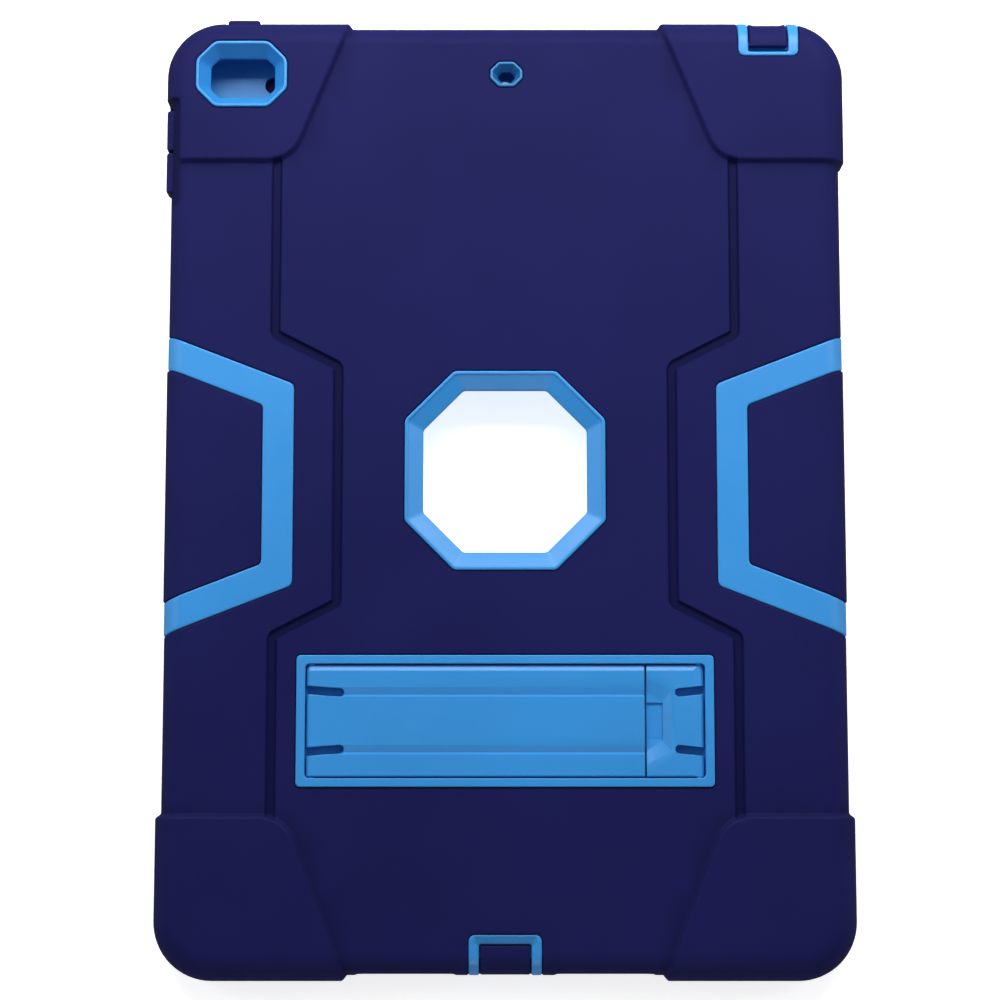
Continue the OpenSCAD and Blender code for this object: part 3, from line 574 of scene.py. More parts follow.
def end_line(x, y0, z1, end):
    """Unrolled line in the plane of one x, from y0 on the back over an end edge and down to z1."""
    beyond = abs(x) - (FLAT[0] - FLAT_R)
    corner_y = FLAT[1] - FLAT_R
    level_y = FLAT[1] if beyond <= 0 else corner_y + math.sqrt(FLAT_R ** 2 - beyond ** 2)
    line = [(x, y0)] if y0 < level_y - 0.3 else []
    last = float(roll_of_plan(Z_SKIN - z1))
    first = max(0.0, float(roll_of_plan(y0 - FLAT[1])))
    for t in np.linspace(first, last, max(2, math.ceil((last - first) / 0.9))):
        if beyond <= 0:
            line.append((x, FLAT[1] + t))
            continue
        cosine = beyond / (FLAT_R + BACK_R * math.sin(min(t / BACK_R, math.pi / 2)))
        away = (FLAT_R + t) * np.array([cosine, math.sqrt(1 - cosine ** 2)])
        line.append((math.copysign(FLAT[0] - FLAT_R + away[0], x), corner_y + away[1]))
    line = np.array(line)
    return line * [1, end]


def port_hole(port):
    """The sleeve's opening for a port: round the surround, and lower between its posts."""
    y0 = BODY[1] - port["reach"] - FIT_GAP
    x, half, end = port["x"], port["half"] + FIT_GAP, port["end"]
    between = port["half"] - POST_W
    right, left = (end_line(x + s * half, y0, POST_LOW - FIT_GAP, end) for s in (1, -1))
    low = [end_line(x + s * between, BODY[1], z, end)[-1:]
           for s, z in ((1, POST_LOW - FIT_GAP), (1, HINGE_SLOT), (-1, HINGE_SLOT), (-1, POST_LOW - FIT_GAP))]
    line = np.vstack([right, *low, left[::-1]])
    radii = [SURROUND_R + FIT_GAP, *[0] * (len(line) - 2), SURROUND_R + FIT_GAP]
    line = rounded(line, radii)
    return line if end > 0 else line[::-1]


def surround_outline(port):
    """U-shaped surround: two posts and a bar."""
    y0, y1 = BODY[1] - port["reach"], BODY[1] - port["reach"] + port["bar"]
    x, half, end = port["x"], port["half"], port["end"]
    lines = [end_line(x + half, y0, POST_LOW, end), end_line(x + half - POST_W, y1, POST_LOW, end)[::-1],
             end_line(x - half + POST_W, y1, POST_LOW, end), end_line(x - half, y0, POST_LOW, end)[::-1]]
    line = np.vstack(lines)
    radii = np.zeros(len(line))
    radii[[0, -1]] = SURROUND_R
    radii[[len(lines[0]) + len(lines[1]) - 1, len(lines[0]) + len(lines[1])]] = SURROUND_R / 3
    line = rounded(line, radii)
    return line if end > 0 else line[::-1]


def end_patch(x0, x1, z0, z1, end, r=0.6):
    """Rounded patch on an end wall between two heights, on the unrolled surface."""
    y0, y1 = FLAT[1] + roll_of_plan(plan_of_height(z1)), FLAT[1] + roll_of_plan(plan_of_height(z0))
    line = rectangle(((x1 - x0) / 2, (y1 - y0) / 2), r, ((x0 + x1) / 2, (y0 + y1) / 2), 4)
    return line if end > 0 else (line * [1, -1])[::-1]


def side_patch(y0, y1, z0, z1, r=0.6):
    """The same on the left side wall."""
    x0, x1 = FLAT[0] + roll_of_plan(plan_of_height(z1)), FLAT[0] + roll_of_plan(plan_of_height(z0))
    return rectangle(((x1 - x0) / 2, (y1 - y0) / 2), r, (-(x0 + x1) / 2, (y0 + y1) / 2), 4)


def plan_of_height(z):
    """Plan distance past the level back where the body's outside is at that height."""
    if z < Z_SKIN - BACK_R:
        return Z_SKIN - z
    return BACK_R * math.sin(math.acos(1 - (Z_SKIN - z) / BACK_R))


PAD_Z = (Z_MID - 3.06, Z_MID + 3.74)
PAD_GAP = 0.35
POWER = node_box("power_button_pad")
VOLUME = [node_box("volume_down_pad"), node_box("volume_up_pad")]


def window_outlines(grow):
    """Outlines of everything hard that shows through the sleeve's back, but for the chevrons."""
    lines = [cut_rectangle(np.add(steps[0][0], 2 * grow), steps[0][1] + more, steps[0][2], at)
             for (at, *steps), more in zip(COLLARS.values(), (0.1, 0.1, 0))]
    return [*lines, rectangle(TRAY_OUTER + grow, 1.3, STAND)]


def sleeve_holes():
    """Every opening of the sleeve, on its unrolled outside."""
    holes = window_outlines(FIT_GAP)
    holes += [chevron_outline(FIT_GAP), mirrored(chevron_outline(FIT_GAP))]
    holes += [port_hole(port) for port in PORTS.values()]
    x0, x1 = SPEAKER_X
    for a, b in ((x0, x1), (-x1, -x0)):
        holes.append(end_patch(a, b, Z_MID - SPEAKER_HALF, Z_MID + SPEAKER_HALF, -1, 2.0))
    low, high = POWER
    holes.append(end_patch(low[0] - PAD_GAP, high[0] + PAD_GAP, PAD_Z[0] - PAD_GAP, PAD_Z[1] + PAD_GAP, 1))
    holes.append(side_patch(VOLUME[0][0][1] - PAD_GAP, VOLUME[1][1][1] + PAD_GAP,
                            PAD_Z[0] - PAD_GAP, PAD_Z[1] + PAD_GAP))
    return holes


def speaker_recesses():
    """Shallow dishes round the two speaker slots."""
    x0, x1 = SPEAKER_X[0] - SPEAKER_RIM, SPEAKER_X[1] + SPEAKER_RIM
    half = SPEAKER_HALF + SPEAKER_RIM
    return [end_patch(a, b, Z_MID - half, Z_MID + half, -1, 2.6) for a, b in ((x0, x1), (-x1, -x0))]


SLEEVE_RIM = 0.4
RECESS_SLOPE = 0.8


def sleeve_surface(flat, holes):
    """Finished outside of the sleeve: body, bumpers, panels, grooves, recesses and rounded rims."""
    points, normals = wrapped(flat)
    share = bumper_share(flat)
    height = PANEL_SIDE * (1 - share) * panel_share(flat) * normals[:, 0] ** 2
    for path in (GROOVE_PATH, GROOVE_PATH * [-1, 1]):
        near = np.clip(distance(flat, path, False) / (GROOVE_W / 2), 0, 1)
        height -= GROOVE_DEPTH * (1 - share) * smooth((1 - near) / GROOVE_WALL)
    for line in speaker_recesses():
        height -= SPEAKER_DEPTH * smooth(0.5 - depth_in(flat, line, 2.0) / RECESS_SLOPE)
    drop = np.zeros(len(flat))
    for line in holes:
        drop = np.maximum(drop, rim_drop(depth_in(flat, line, 1.0), SLEEVE_RIM))
    return points + bumper_shift(flat, normals, share) + normals * (height - drop)[:, None]


def sleeve_recess(flat):
    """Shade painted into the sleeve's colour: 1 deep in a groove or right at the foot of a bumper's step, up
    to 0.9 round the cut by the volume pads, 0 elsewhere.
    """
    deep = np.zeros(len(flat))
    share = bumper_share(flat)
    # painted shade deep in each groove
    for path in (GROOVE_PATH, GROOVE_PATH * [-1, 1]):
        near = np.clip(distance(flat, path, False) / (GROOVE_W / 2), 0, 1)
        deep = np.maximum(deep, (1 - share) * smooth((1 - near) / GROOVE_WALL))
    # painted shadow at the foot of each bumper's step
    for line in BUMPER_OUTLINES:
        away = depth_in(flat, line, 3.0)
        foot = np.interp(away, [-0.9, 0.6, 1.2, 3.0], [0, 0.55, 0.5, 0])
        deep = np.maximum(deep, foot)
    # painted shade on the slope round the cut by the volume pads
    cut = smooth(0.5 - depth_in(flat, bumper_cut(), CUT_SLOPE) / CUT_SLOPE)
    return np.maximum(deep, 0.9 * cut)


def edge_rows():
    """Closed rows round the body's rolled edges and side wall, on the unrolled surface."""
    rows = [ROLL * k / 9 for k in range(10)]
    rows += list(np.linspace(ROLL, WALL_END, 4)[1:])
    rows += [WALL_END + FRONT_R * math.pi / 2 * k / 4 for k in range(1, 5)]
    return [(resampled(rectangle(FLAT + t, FLAT_R + t, steps=16), 3.0), True) for t in rows]


def sleeve_parts():
    """The sleeve as two sheets, the wrap over back and sides and the flat front lip."""
    lines = edge_rows()
    for outline in BUMPER_OUTLINES:
        for share in (-0.5, -0.36, -0.24, -0.12, 0, 0.12, 0.24, 0.36, 0.5):
            lines += kept_runs(resampled(offset(outline, share * STEP_W), 2.5))
    cut = resampled(bumper_cut(), 1.5)
    lines += [(offset(cut, share * CUT_SLOPE), True) for share in (-0.5, -0.25, 0, 0.25, 0.5)]
    for path in (GROOVE_PATH, (GROOVE_PATH * [-1, 1])[::-1]):
        fine = resampled(path, 2.5, False)
        for share in (0, 1 - GROOVE_WALL, 1 - 0.67 * GROOVE_WALL, 1 - 0.33 * GROOVE_WALL, 1):
            for side in (1, -1) if share else (1,):
                lines.append((offset(fine, side * share * GROOVE_W / 2, False), False))
    for outline in speaker_recesses():
        fine = resampled(outline, 1.0)
        lines += [(offset(fine, share * RECESS_SLOPE), True) for share in (-0.5, -0.25, 0, 0.25, 0.5)]
    holes = [resampled(line, 2.5) for line in sleeve_holes()]
    for line in holes:
        lines += rim_rows(line, SLEEVE_RIM)
    grid = [(x, y) for x in np.arange(-84, 85, 7.0) for y in np.arange(-122, 123, 7.0)]
    flat, tris = triangles(lines, grid)
    middle = flat[tris].mean(1)
    keep = ring(middle)[0] < RIM_END
    for line in holes:
        keep &= depth_in(middle, line, 1.0) > 0
    flat, tris = used_only(flat, tris[keep])
    outside = sleeve_surface(flat, holes)
    t = ring(flat)[0]
    at_lip = t > RIM_END - 1e-3
    rim = border(tris)
    wrap = slab(tris, outside, lining(flat), ~at_lip)
    lip_edge = rim[at_lip[rim].all(1)]
    return [wrap, lip_part(outside[:, :2], lining(flat)[:, :2], lip_edge)], sleeve_recess(flat)


def kept_runs(line, keep=None):
    """The stretches of a closed line that are kept, by default those on the wrap, as open lines."""
    if keep is None:
        keep = ring(line)[0] < RIM_END - 0.15
    if keep.all():
        return [(line, True)]
    start = int(np.argmin(keep))
    line, keep = np.roll(line, -start, 0), np.roll(keep, -start)
    runs, run = [], []
    for p, ok in zip(line, keep):
        if ok:
            run.append(p)
        elif run:
            runs.append((np.array(run), False))
            run = []
    if run:
        runs.append((np.array(run), False))
    return [r for r in runs if len(r[0]) > 1]


HOME = np.array([0, -(CAVITY[1] - 0.25) + 10.3])
FRONT_CAMERA = HOME * [1, -1]
HOME_R, FRONT_CAMERA_R = 6.5, 4
SCREEN = np.array([CAVITY[0] - 0.25 - 8.3, CAVITY[1] - 0.25 - 20.5])
LIP_BACK = 1.2
LIP_RIM = 0.6


def circle(r, at, n=40):
    """Round outline of n points."""
    a = np.arange(n) * 2 * math.pi / n
    return np.stack([np.cos(a), np.sin(a)], 1) * r + at


def front_holes(grow):
    """Screen window and the two round holes of the front, grown by grow."""
    return [rectangle(SCREEN + grow, 3 + grow), circle(HOME_R + grow / 2, HOME),
            circle(FRONT_CAMERA_R + grow / 2, FRONT_CAMERA)]


def lip_part(outer, inner, edge):
    """Flat front lip, welded to the wrap's last points outside and inside."""
    holes = [resampled(line, 4.0) for line in front_holes(LIP_BACK)]
    lines = []
    for line in holes:
        lines += rim_rows(line, LIP_RIM)
    order = chained(edge)
    outline = outer[order]
    flat, tris = triangles(lines + [(outline, True)])
    middle = flat[tris].mean(1)
    keep = inside(middle, outline)
    for line in holes:
        keep &= depth_in(middle, line, 1.0) > 0
    flat, tris = used_only(flat, tris[keep])
    drop = np.zeros(len(flat))
    for line in holes:
        drop = np.maximum(drop, rim_drop(depth_in(flat, line, 1.0), LIP_RIM))
    away = np.linalg.norm(flat[:, None] - outline, axis=2)
    on_edge = away.min(1) < 1e-3
    under = np.where(on_edge[:, None], inner[order][away.argmin(1)], flat)
    return slab(tris[:, ::-1], np.column_stack([flat, drop]), at_height(under, Z_LIP), ~on_edge)


def chained(edges):
    """Points of one closed loop of edges, in order."""
    following = dict(map(tuple, edges.tolist()))
    first = int(edges[0][0])
    order, k = [first], following[first]
    while k != first:
        order.append(k)
        k = following[k]
    return np.array(order)


# ---------------------------------------------------------------- hard shell and bezel

class Pan:
    """Shallow tray with rounded edges: a level face, and walls that end at the joint line."""

    def __init__(self, face, floor, edge):
        self.face, self.floor, self.edge = face, floor, edge
        self.way = math.copysign(1, floor - face)
        self.turn = edge * math.pi / 2
        self.end = self.turn + abs(Z_PART - face) - edge

    def run(self, z):
        """Unrolled distance past the level face at which the wall has that height."""
        return self.turn + abs(z - self.face) - self.edge

    def surfaces(self, flat):
        """Outside and inside for points of the unrolled surface."""
        edge = self.edge
        t, out = ring(flat, SHELL - edge, SHELL_R - edge)
        s, out_in = ring(flat, CAVITY - edge, SHELL_R - WALL - edge)
        roll = np.clip(t / edge, 0, math.pi / 2)
        wall = edge + np.maximum(t - self.turn, 0)
        depth = np.where(t < self.turn, edge * (1 - np.cos(roll)), wall)
        outside = flat + out * (edge * np.sin(roll) - np.maximum(t, 0))[:, None]
        meet = self.turn + abs(self.floor - self.face)
        bend = np.clip(s / (meet + WALL), 0, 1) * math.pi / 2
        depth_in = np.where(t < meet, abs(self.floor - self.face) + edge * (1 - np.cos(bend)), wall)
        inside_ = flat + out_in * (edge * np.sin(bend) - np.maximum(s, 0))[:, None]
        return (np.column_stack([outside, self.face + self.way * depth]),
                np.column_stack([inside_, self.face + self.way * depth_in]))

    def patch(self, a0, a1, z0, z1, side, sign, past=0.0):
        """Rectangle on one wall, from a0 to a1 along it and between two heights."""
        low, high = sorted((self.run(z0), self.run(z1)))
        high += past
        half = (SHELL - self.edge)[side]
        out = sorted((sign * (half + low), sign * (half + high)))
        (x0, x1), (y0, y1) = ((a0, a1), out) if side else (out, (a0, a1))
        return np.array([(x1, y0), (x1, y1), (x0, y1), (x0, y0)])

    def notches(self):
        """Openings in the walls for the speakers and the ports, open at the joint line."""
        low = Z_MID - SPEAKER_HALF if self.way > 0 else Z_MID + SPEAKER_HALF
        x0, x1 = SPEAKER_X
        out = [self.patch(a, b, low, Z_PART, 1, -1, 2) for a, b in ((x0, x1), (-x1, -x0))]
        low = Z_MID - PLUG_H / 2 - 1.0 if self.way > 0 else Z_MID + PLUG_H / 2 + PLUG_GAP
        for port in PORTS.values():
            half = port["plug"] / 2 + PLUG_GAP
            out.append(self.patch(port["x"] - half, port["x"] + half, low, Z_PART, 1, port["end"], 2))
        return out

    def parts(self, holes, collars=(), rim=0.3):
        """Sheets of the pan. Holes go right through; each collar is an (outer, inner) pair of outlines
        that other parts close, with no inner one where the floor stays whole."""
        lines = []
        rows = [self.turn * k / 4 for k in range(5)] + [self.end]
        rows += [-WALL + (self.turn + abs(self.floor - self.face) + WALL) * k / 6 for k in range(7)]
        edges = [line for pair in collars for line in pair if line is not None]
        for t in rows:
            row = self.row(t)
            clear = np.ones(len(row), bool)
            for line in edges:
                clear &= np.abs(depth_in(row, line, 8.0)) > 3.5
            lines += kept_runs(row, clear)
        for line in holes:
            lines += rim_rows(line, rim)
        lines += [(line, True) for line in edges]
        notches = self.notches()
        lines += [(resampled(line, 3.0), True) for line in notches]
        grid = [(x, y) for x in np.arange(-80, 81, 16.0) for y in np.arange(-120, 121, 16.0)]
        flat, tris = triangles(lines, grid)
        middle = flat[tris].mean(1)
        keep = ring(middle, SHELL - self.edge, SHELL_R - self.edge)[0] < self.end
        for line in [*holes, *notches]:
            keep &= ~inside(middle, line)
        flat, tris = used_only(flat, tris[keep])
        middle = flat[tris].mean(1)
        upper, lower = np.ones(len(tris), bool), np.ones(len(tris), bool)
        for outer, inner in collars:
            upper &= ~inside(middle, outer)
            if inner is not None:
                lower &= ~inside(middle, inner)
        top, bottom = self.surfaces(flat)
        for line in holes:
            drop = rim_drop(depth_in(flat, line, rim * 2), rim)
            top[:, 2] += self.way * drop
        return sheets(tris[upper], tris[lower], border(tris), top, bottom)

    def row(self, t):
        """Points all round the pan at one unrolled distance past its level face."""
        half, r = SHELL - self.edge + t, SHELL_R - self.edge + t
        return resampled(rectangle(half, r, steps=12), 6.0)


PLUG_H = 3.0
PLUG_GAP = 1.6
SHELL_PAN = Pan(Z_SHELL, Z_FLOOR, 0.5)
BEZEL_PAN = Pan(Z_LIP, Z_BEZEL, 0.5)
Z_TRAY = Z_FLOOR + 0.9
PEG = CAMERA + [COLLARS["camera"][3][0][0] / 2 - 1.05, 0.3]
PEG_R = 2.5
RIB_X, RIB_Z = 5.0, 2.6


def lip_rows(outer, inner, z, r_out, r_in):
    """Rows over a collar's level lip, from its outer wall to the top of its inner one."""
    rows = [(offset(outer, -r_out * a), z - r_out * b) for a, b in
            ((0, 1), (0.08, 0.6), (0.3, 0.28), (0.62, 0.07), (1, 0))]
    rows += [(offset(inner, r_in * a), z - r_in * b) for a, b in
             ((1, 0), (0.6, 0.08), (0.25, 0.3), (0.02, 0.62), (0, 1))]
    return rows


def funnel_collar(outer, lip, inner, z_top, z_low):
    """Collar that stands on the shell and slopes in to a smaller opening."""
    foot = SHELL_PAN.surfaces(outer)[0]
    rows = [at_height(line, z) for line, z in lip_rows(outer, lip, z_top, 0.4, 0.3)]
    for share, z in ((0.94, z_low + (z_top - z_low) * 0.06), (1.0, z_low - 0.15)):
        rows.append(at_height(lip + (inner - lip) * share, z))
    rows.append(at_height(inner, Z_FLOOR))
    return loft([foot, *rows])


def shell_parts():
    """Hard shell: pan with its three collars and the stand's tray."""
    top = BUMPER[2] + 0.5
    window, camera, mic = ([cut_rectangle(*step, at) for step in steps] for at, *steps in COLLARS.values())
    tray_outer = rectangle(TRAY_OUTER, 1.2, STAND)
    tray_inner = rectangle(TRAY_INNER, 1.2, STAND)
    windows = [SHELL_PAN.patch(POWER_X - RIB_X / 2 - PAD_GAP, POWER_X + RIB_X / 2 + PAD_GAP,
                               Z_MID - RIB_Z / 2 - PAD_GAP, Z_MID + RIB_Z / 2 + PAD_GAP, 1, 1)]
    for y in VOLUME_Y:
        windows.append(SHELL_PAN.patch(y - RIB_X / 2 - PAD_GAP, y + RIB_X / 2 + PAD_GAP,
                                       Z_MID - RIB_Z / 2 - PAD_GAP, Z_MID + RIB_Z / 2 + PAD_GAP, 0, -1))
    collars = [(window[0], window[2]), (camera[0], camera[2]), (mic[0], mic[2]), (tray_outer, None)]
    parts = [SHELL_PAN.parts(windows, collars, 0.05)]
    parts.append(funnel_collar(*window, Z_COLLAR, Z_SHELL))
    parts.append(funnel_collar(*camera, top, Z_FLOOR + 0.6))
    parts.append(funnel_collar(*mic, Z_COLLAR, Z_FLOOR + 0.6))
    rows = [at_height(line, z) for line, z in lip_rows(tray_outer, tray_inner, Z_COLLAR + 0.1, 0.35, 0.3)]
    rows += [at_height(offset(tray_inner, -0.4 * a), Z_TRAY + 0.4 * b) for a, b in
             ((0, 1), (0.07, 0.62), (0.29, 0.29), (0.62, 0.07), (1, 0))]
    parts.append(loft([SHELL_PAN.surfaces(tray_outer)[0], *rows]))
    parts.append(flat_sheet(offset(tray_inner, -0.4), [], Z_TRAY))
    return parts


POWER_X = (POWER[0][0] + POWER[1][0]) / 2
VOLUME_Y = [(low[1] + high[1]) / 2 for low, high in VOLUME]


def rib_part(outline, lift, on_bumper, r):
    """Closed strip of the hard shell that comes up level with the sleeve's outside."""
    fine = resampled(outline, 2.5)
    lines = rim_rows(fine, r, -1)
    low, high = fine.min(0) - 3, fine.max(0) + 3
    for row, _ in edge_rows():
        near = ((row > low) & (row < high)).all(1)
        if near.any() and not near.all():
            first = int(np.argmin(near))
            row, near = np.roll(row, -first, 0), np.roll(near, -first)
        stops = np.flatnonzero(np.diff(np.concatenate([[0], near.astype(int), [0]])))
        lines += [(row[a:b], False) for a, b in zip(stops[::2], stops[1::2]) if b - a > 1]
    flat, tris = triangles(lines)
    flat, tris = used_only(flat, tris[inside(flat[tris].mean(1), fine)])
    points, normals = wrapped(flat)
    drop = rim_drop(-depth_in(flat, fine, 1.0), r)
    top = points + bumper_shift(flat, normals, on_bumper) + normals * (lift - drop)[:, None]
    return slab(tris, top, lining(flat, 0.7))


def rib_parts():
    """The two chevrons and the two port surrounds."""
    chevron = chevron_outline()
    return [rib_part(chevron, 0.1, 0, 0.5), rib_part(mirrored(chevron), 0.1, 0, 0.5),
            *(rib_part(surround_outline(port), 0, port["on_bumper"], 0.45) for port in PORTS.values())]


def bar_recess(points):
    """Shade painted into the colour of the charging port's surround: 1 on its bar, which lies in the shade of
    the sleeve's rim.
    """
    port = PORTS["charge"]
    x, y = np.abs(points[:, 0] - port["x"]), points[:, 1] * port["end"] - (BODY[1] - port["reach"])
    return np.where((x < port["half"] - POST_W / 2) & (y < port["bar"] + 0.1), 0.9, 0.0)


TONGUE = dict(wide=10.0, thick=0.9, high=3.4, barb=0.6, gap=0.15)
TONGUE_Y, TONGUE_X = 62.0, 54.0
PIN_R, PIN_LONG, PIN_GAP = 0.9, 1.9, 0.15
LEG_HALF = node_box("stand_foot")[1][1] - STAND[1] - PIN_LONG


def tongue_places():
    """Middle of each tongue on the outer face, and the way outwards there as an angle."""
    places = []
    for s in (1, -1):
        for q in (1, -1):
            places.append(((s * SHELL[0], q * TONGUE_Y), math.radians(-90 * s)))
            places.append(((q * TONGUE_X, s * SHELL[1]), math.radians(0 if s > 0 else 180)))
    return places


def turned(part, angle, at):
    """The part turned about Z and then moved, both in plan."""
    points, faces = part
    c, s = math.cos(angle), math.sin(angle)
    x, y, z = points.T
    return np.stack([x * c - y * s + at[0], x * s + y * c + at[1], z], 1), faces


def pocket_parts():
    """Spaces in the hard shell for the tongues and for the stand's pins."""
    parts = []
    t = TONGUE
    half, deep = t["wide"] / 2 + t["gap"], t["thick"] + t["gap"]
    for at, angle in tongue_places():
        high = Z_PART + t["high"] + t["gap"]
        low = (-half, -deep, Z_PART - 1)
        parts.append(turned(box_part(low, (half, 1.0, high)), angle, at))
    for hinge in ("leg_hinge", "foot_hinge"):
        x, _, z = HINGES[hinge]
        reach = LEG_HALF + PIN_LONG + PIN_GAP
        parts.append(pin_part(x, z, PIN_R + PIN_GAP, -reach, reach))
    return parts


def pin_part(x, z, r, y0, y1, bevel=0.0):
    """Round pin along Y at the stand's place."""
    a = np.arange(24) * 2 * math.pi / 24
    rows = []
    for y, s in ((y0, r - bevel), (y0 + bevel, r), (y1 - bevel, r), (y1, r - bevel)):
        if rows and abs(rows[-1][0, 1] - y - STAND[1]) < 1e-9:
            continue
        rows.append(np.stack([x + s * np.sin(a), np.full(24, y + STAND[1]), z + s * np.cos(a)], 1))
    return loft(rows, (True, True))


# ---------------------------------------------------------------- stand

LEG = [v - np.append(STAND, 0) for v in node_box("stand_leg")]
FOOT = [v - np.append(STAND, 0) for v in node_box("stand_foot")]
PLATE_END = FOOT[1][0]
Z_LEG = Z_TRAY + 0.3
LEG_T = 2.7
KNUCKLE = 1.45
SLOT_W = 2.3
LEG_SLOT, FOOT_SLOT = 10.3, 7.9
SLOT_MID = (7.7, 8.4)
BEVEL_W, BEVEL_H = 1.6, 0.8
BEVEL_NEAR = 0.45
GROOVE = dict(mid=7.85, above=1.3, below=-1.3, floor=-0.7, deep=0.7)
PLATE_RIM, FOOT_RIM = 0.22, 0.15
SCOOP = dict(wide=12.6, narrow=8.25, long=6.8, low_wide=8.2, low_narrow=5.5, low_long=4.5, deep=1.3)
POCKET = dict(half=5.15, long=4.7, deep=1.95, wall=0.3, far_wall=0.3)


def slot_outline(side, length):
    """Open slot of a stand plate with a round inner end; the hinge end is towards +X."""
    inner, outer = SLOT_MID
    run = length - SLOT_W / 2
    at = np.array([PLATE_END - run, side * inner])
    along = unit([run, side * (outer - inner)])
    across = np.array([-along[1], along[0]]) * SLOT_W / 2
    a = np.linspace(math.pi / 2, 3 * math.pi / 2, 13)
    around = [at + across * math.sin(t) + along * SLOT_W / 2 * math.cos(t) for t in a]
    return np.array([at + along * (run + 2) + across, *around, at + along * (run + 2) - across])


def plate_parts(x0, slot_long, height, lines, end_r=PLATE_RIM):
    """Stand plate from x0 to its hinge end: slots, rounded edges and a knuckle. height gives how far
    the top lies down at each point, and lines are the breaks in it."""
    x1, half = PLATE_END, LEG_HALF
    outline = resampled(rounded([(x1, -half), (x1, half), (x0, half), (x0, -half)], [0, 0, 0.3, 0.3], 3), 4.0)
    slots = [resampled(slot_outline(side, slot_long), 2.0) for side in (1, -1)]
    rows = rim_rows(outline, end_r, -1)
    for line in slots:
        rows += rim_rows(line, end_r)
    pivot = x1 - KNUCKLE
    for x in pivot + KNUCKLE * np.sin(np.radians([0, 25, 45, 60, 72, 82])):
        rows.append((np.array([(x, -half - 1), (x, half + 1)]), False))
    rows += [(np.asarray(line, float), False) for line in lines]
    grid = [(x, y) for x in np.arange(x0 + 5, x1 - 3, 6.0) for y in (-12, -4, 0, 4, 12)]
    flat, tris = triangles(rows, grid)
    middle = flat[tris].mean(1)
    keep = inside(middle, outline)
    for line in slots:
        keep &= ~inside(middle, line)
    flat, tris = used_only(flat, tris[keep])
    z_pivot = Z_LEG + LEG_T / 2
    arc = np.sqrt(np.maximum(KNUCKLE ** 2 - np.maximum(flat[:, 0] - pivot, 0) ** 2, 0))
    reach = np.minimum(arc, LEG_T / 2)
    edge = rim_drop(-depth_in(flat, outline, 2.0), end_r)
    for line in slots:
        edge = np.maximum(edge, rim_drop(depth_in(flat, line, 2.0), end_r))
    sunk = np.minimum(height(flat), 0.78 * LEG_T)
    room = np.maximum(2 * reach - sunk, 0)
    top = z_pivot + reach - sunk - np.minimum(edge, room / 3)
    bottom = z_pivot - reach + np.minimum(edge, room / 3)
    return slab(tris, np.column_stack([flat, top]), np.column_stack([flat, bottom]))


def bevel_height(flat):
    """Wide bevel along the far long edge, narrow one along the near edge."""
    far = BEVEL_H * (flat[:, 1] - LEG_HALF + BEVEL_W) / BEVEL_W
    near = BEVEL_NEAR * (-flat[:, 1] - LEG_HALF + BEVEL_NEAR) / BEVEL_NEAR
    return np.clip(np.maximum(far, near), 0, BEVEL_H)


def leg_height(flat):
    """Bevels, and two long grooves with a gentle wall on one side and a steep one on the other."""
    g = GROOVE
    down = bevel_height(flat)
    for side in (1, -1):
        v = flat[:, 1] - side * g["mid"]
        near = np.interp(v, [g["below"], g["floor"], g["above"]], [0, g["deep"], 0], 0, 0)
        fade = smooth((PLATE_END - 3.0 - flat[:, 0]) / 3.0)
        down = np.maximum(down, near * fade)
    return down


def foot_height(flat):
    """Bevels, the mitred end, the finger scoop and the pocket in its floor."""
    s, p = SCOOP, POCKET
    x = flat[:, 0] - FOOT[0][0]
    y = np.abs(flat[:, 1])
    end = (x - (FOOT[1][0] - FOOT[0][0] - KNUCKLE - BEVEL_W)) / BEVEL_W
    down = np.maximum(bevel_height(flat), BEVEL_H * 0.6 * np.clip(end, 0, 1))
    top = s["wide"] + (s["narrow"] - s["wide"]) * x / s["long"]
    low = s["low_wide"] + (s["low_narrow"] - s["low_wide"]) * x / s["low_long"]
    sides = (top - y) / (top - low)
    far = (s["long"] - x) / (s["long"] - s["low_long"])
    down = np.maximum(down, s["deep"] * np.clip(np.minimum(sides, far), 0, 1))
    wall = np.minimum((p["half"] - y) / p["wall"], (p["long"] - x) / p["far_wall"])
    return np.maximum(down, p["deep"] * np.clip(wall, 0, 1))


def leg_parts():
    """Long leg, drawn with its hinge towards +X and then turned round."""
    half, g = LEG_HALF + 1, GROOVE
    x0 = -LEG[1][0]
    rows = [BEVEL_W - LEG_HALF, LEG_HALF - BEVEL_NEAR]
    rows += [s * g["mid"] - v for s in (1, -1) for v in (g["below"], g["floor"], g["above"])]
    lines = [[(x0 - 1, y), (PLATE_END + 1, y)] for y in rows]
    lines += [[(PLATE_END - d, -half), (PLATE_END - d, half)] for d in (3.0, 3.75, 4.5, 5.25, 6.0)]
    body = plate_parts(x0, LEG_SLOT, lambda flat: leg_height(flat * [1, -1]), lines)
    return turned(body, math.pi, STAND)


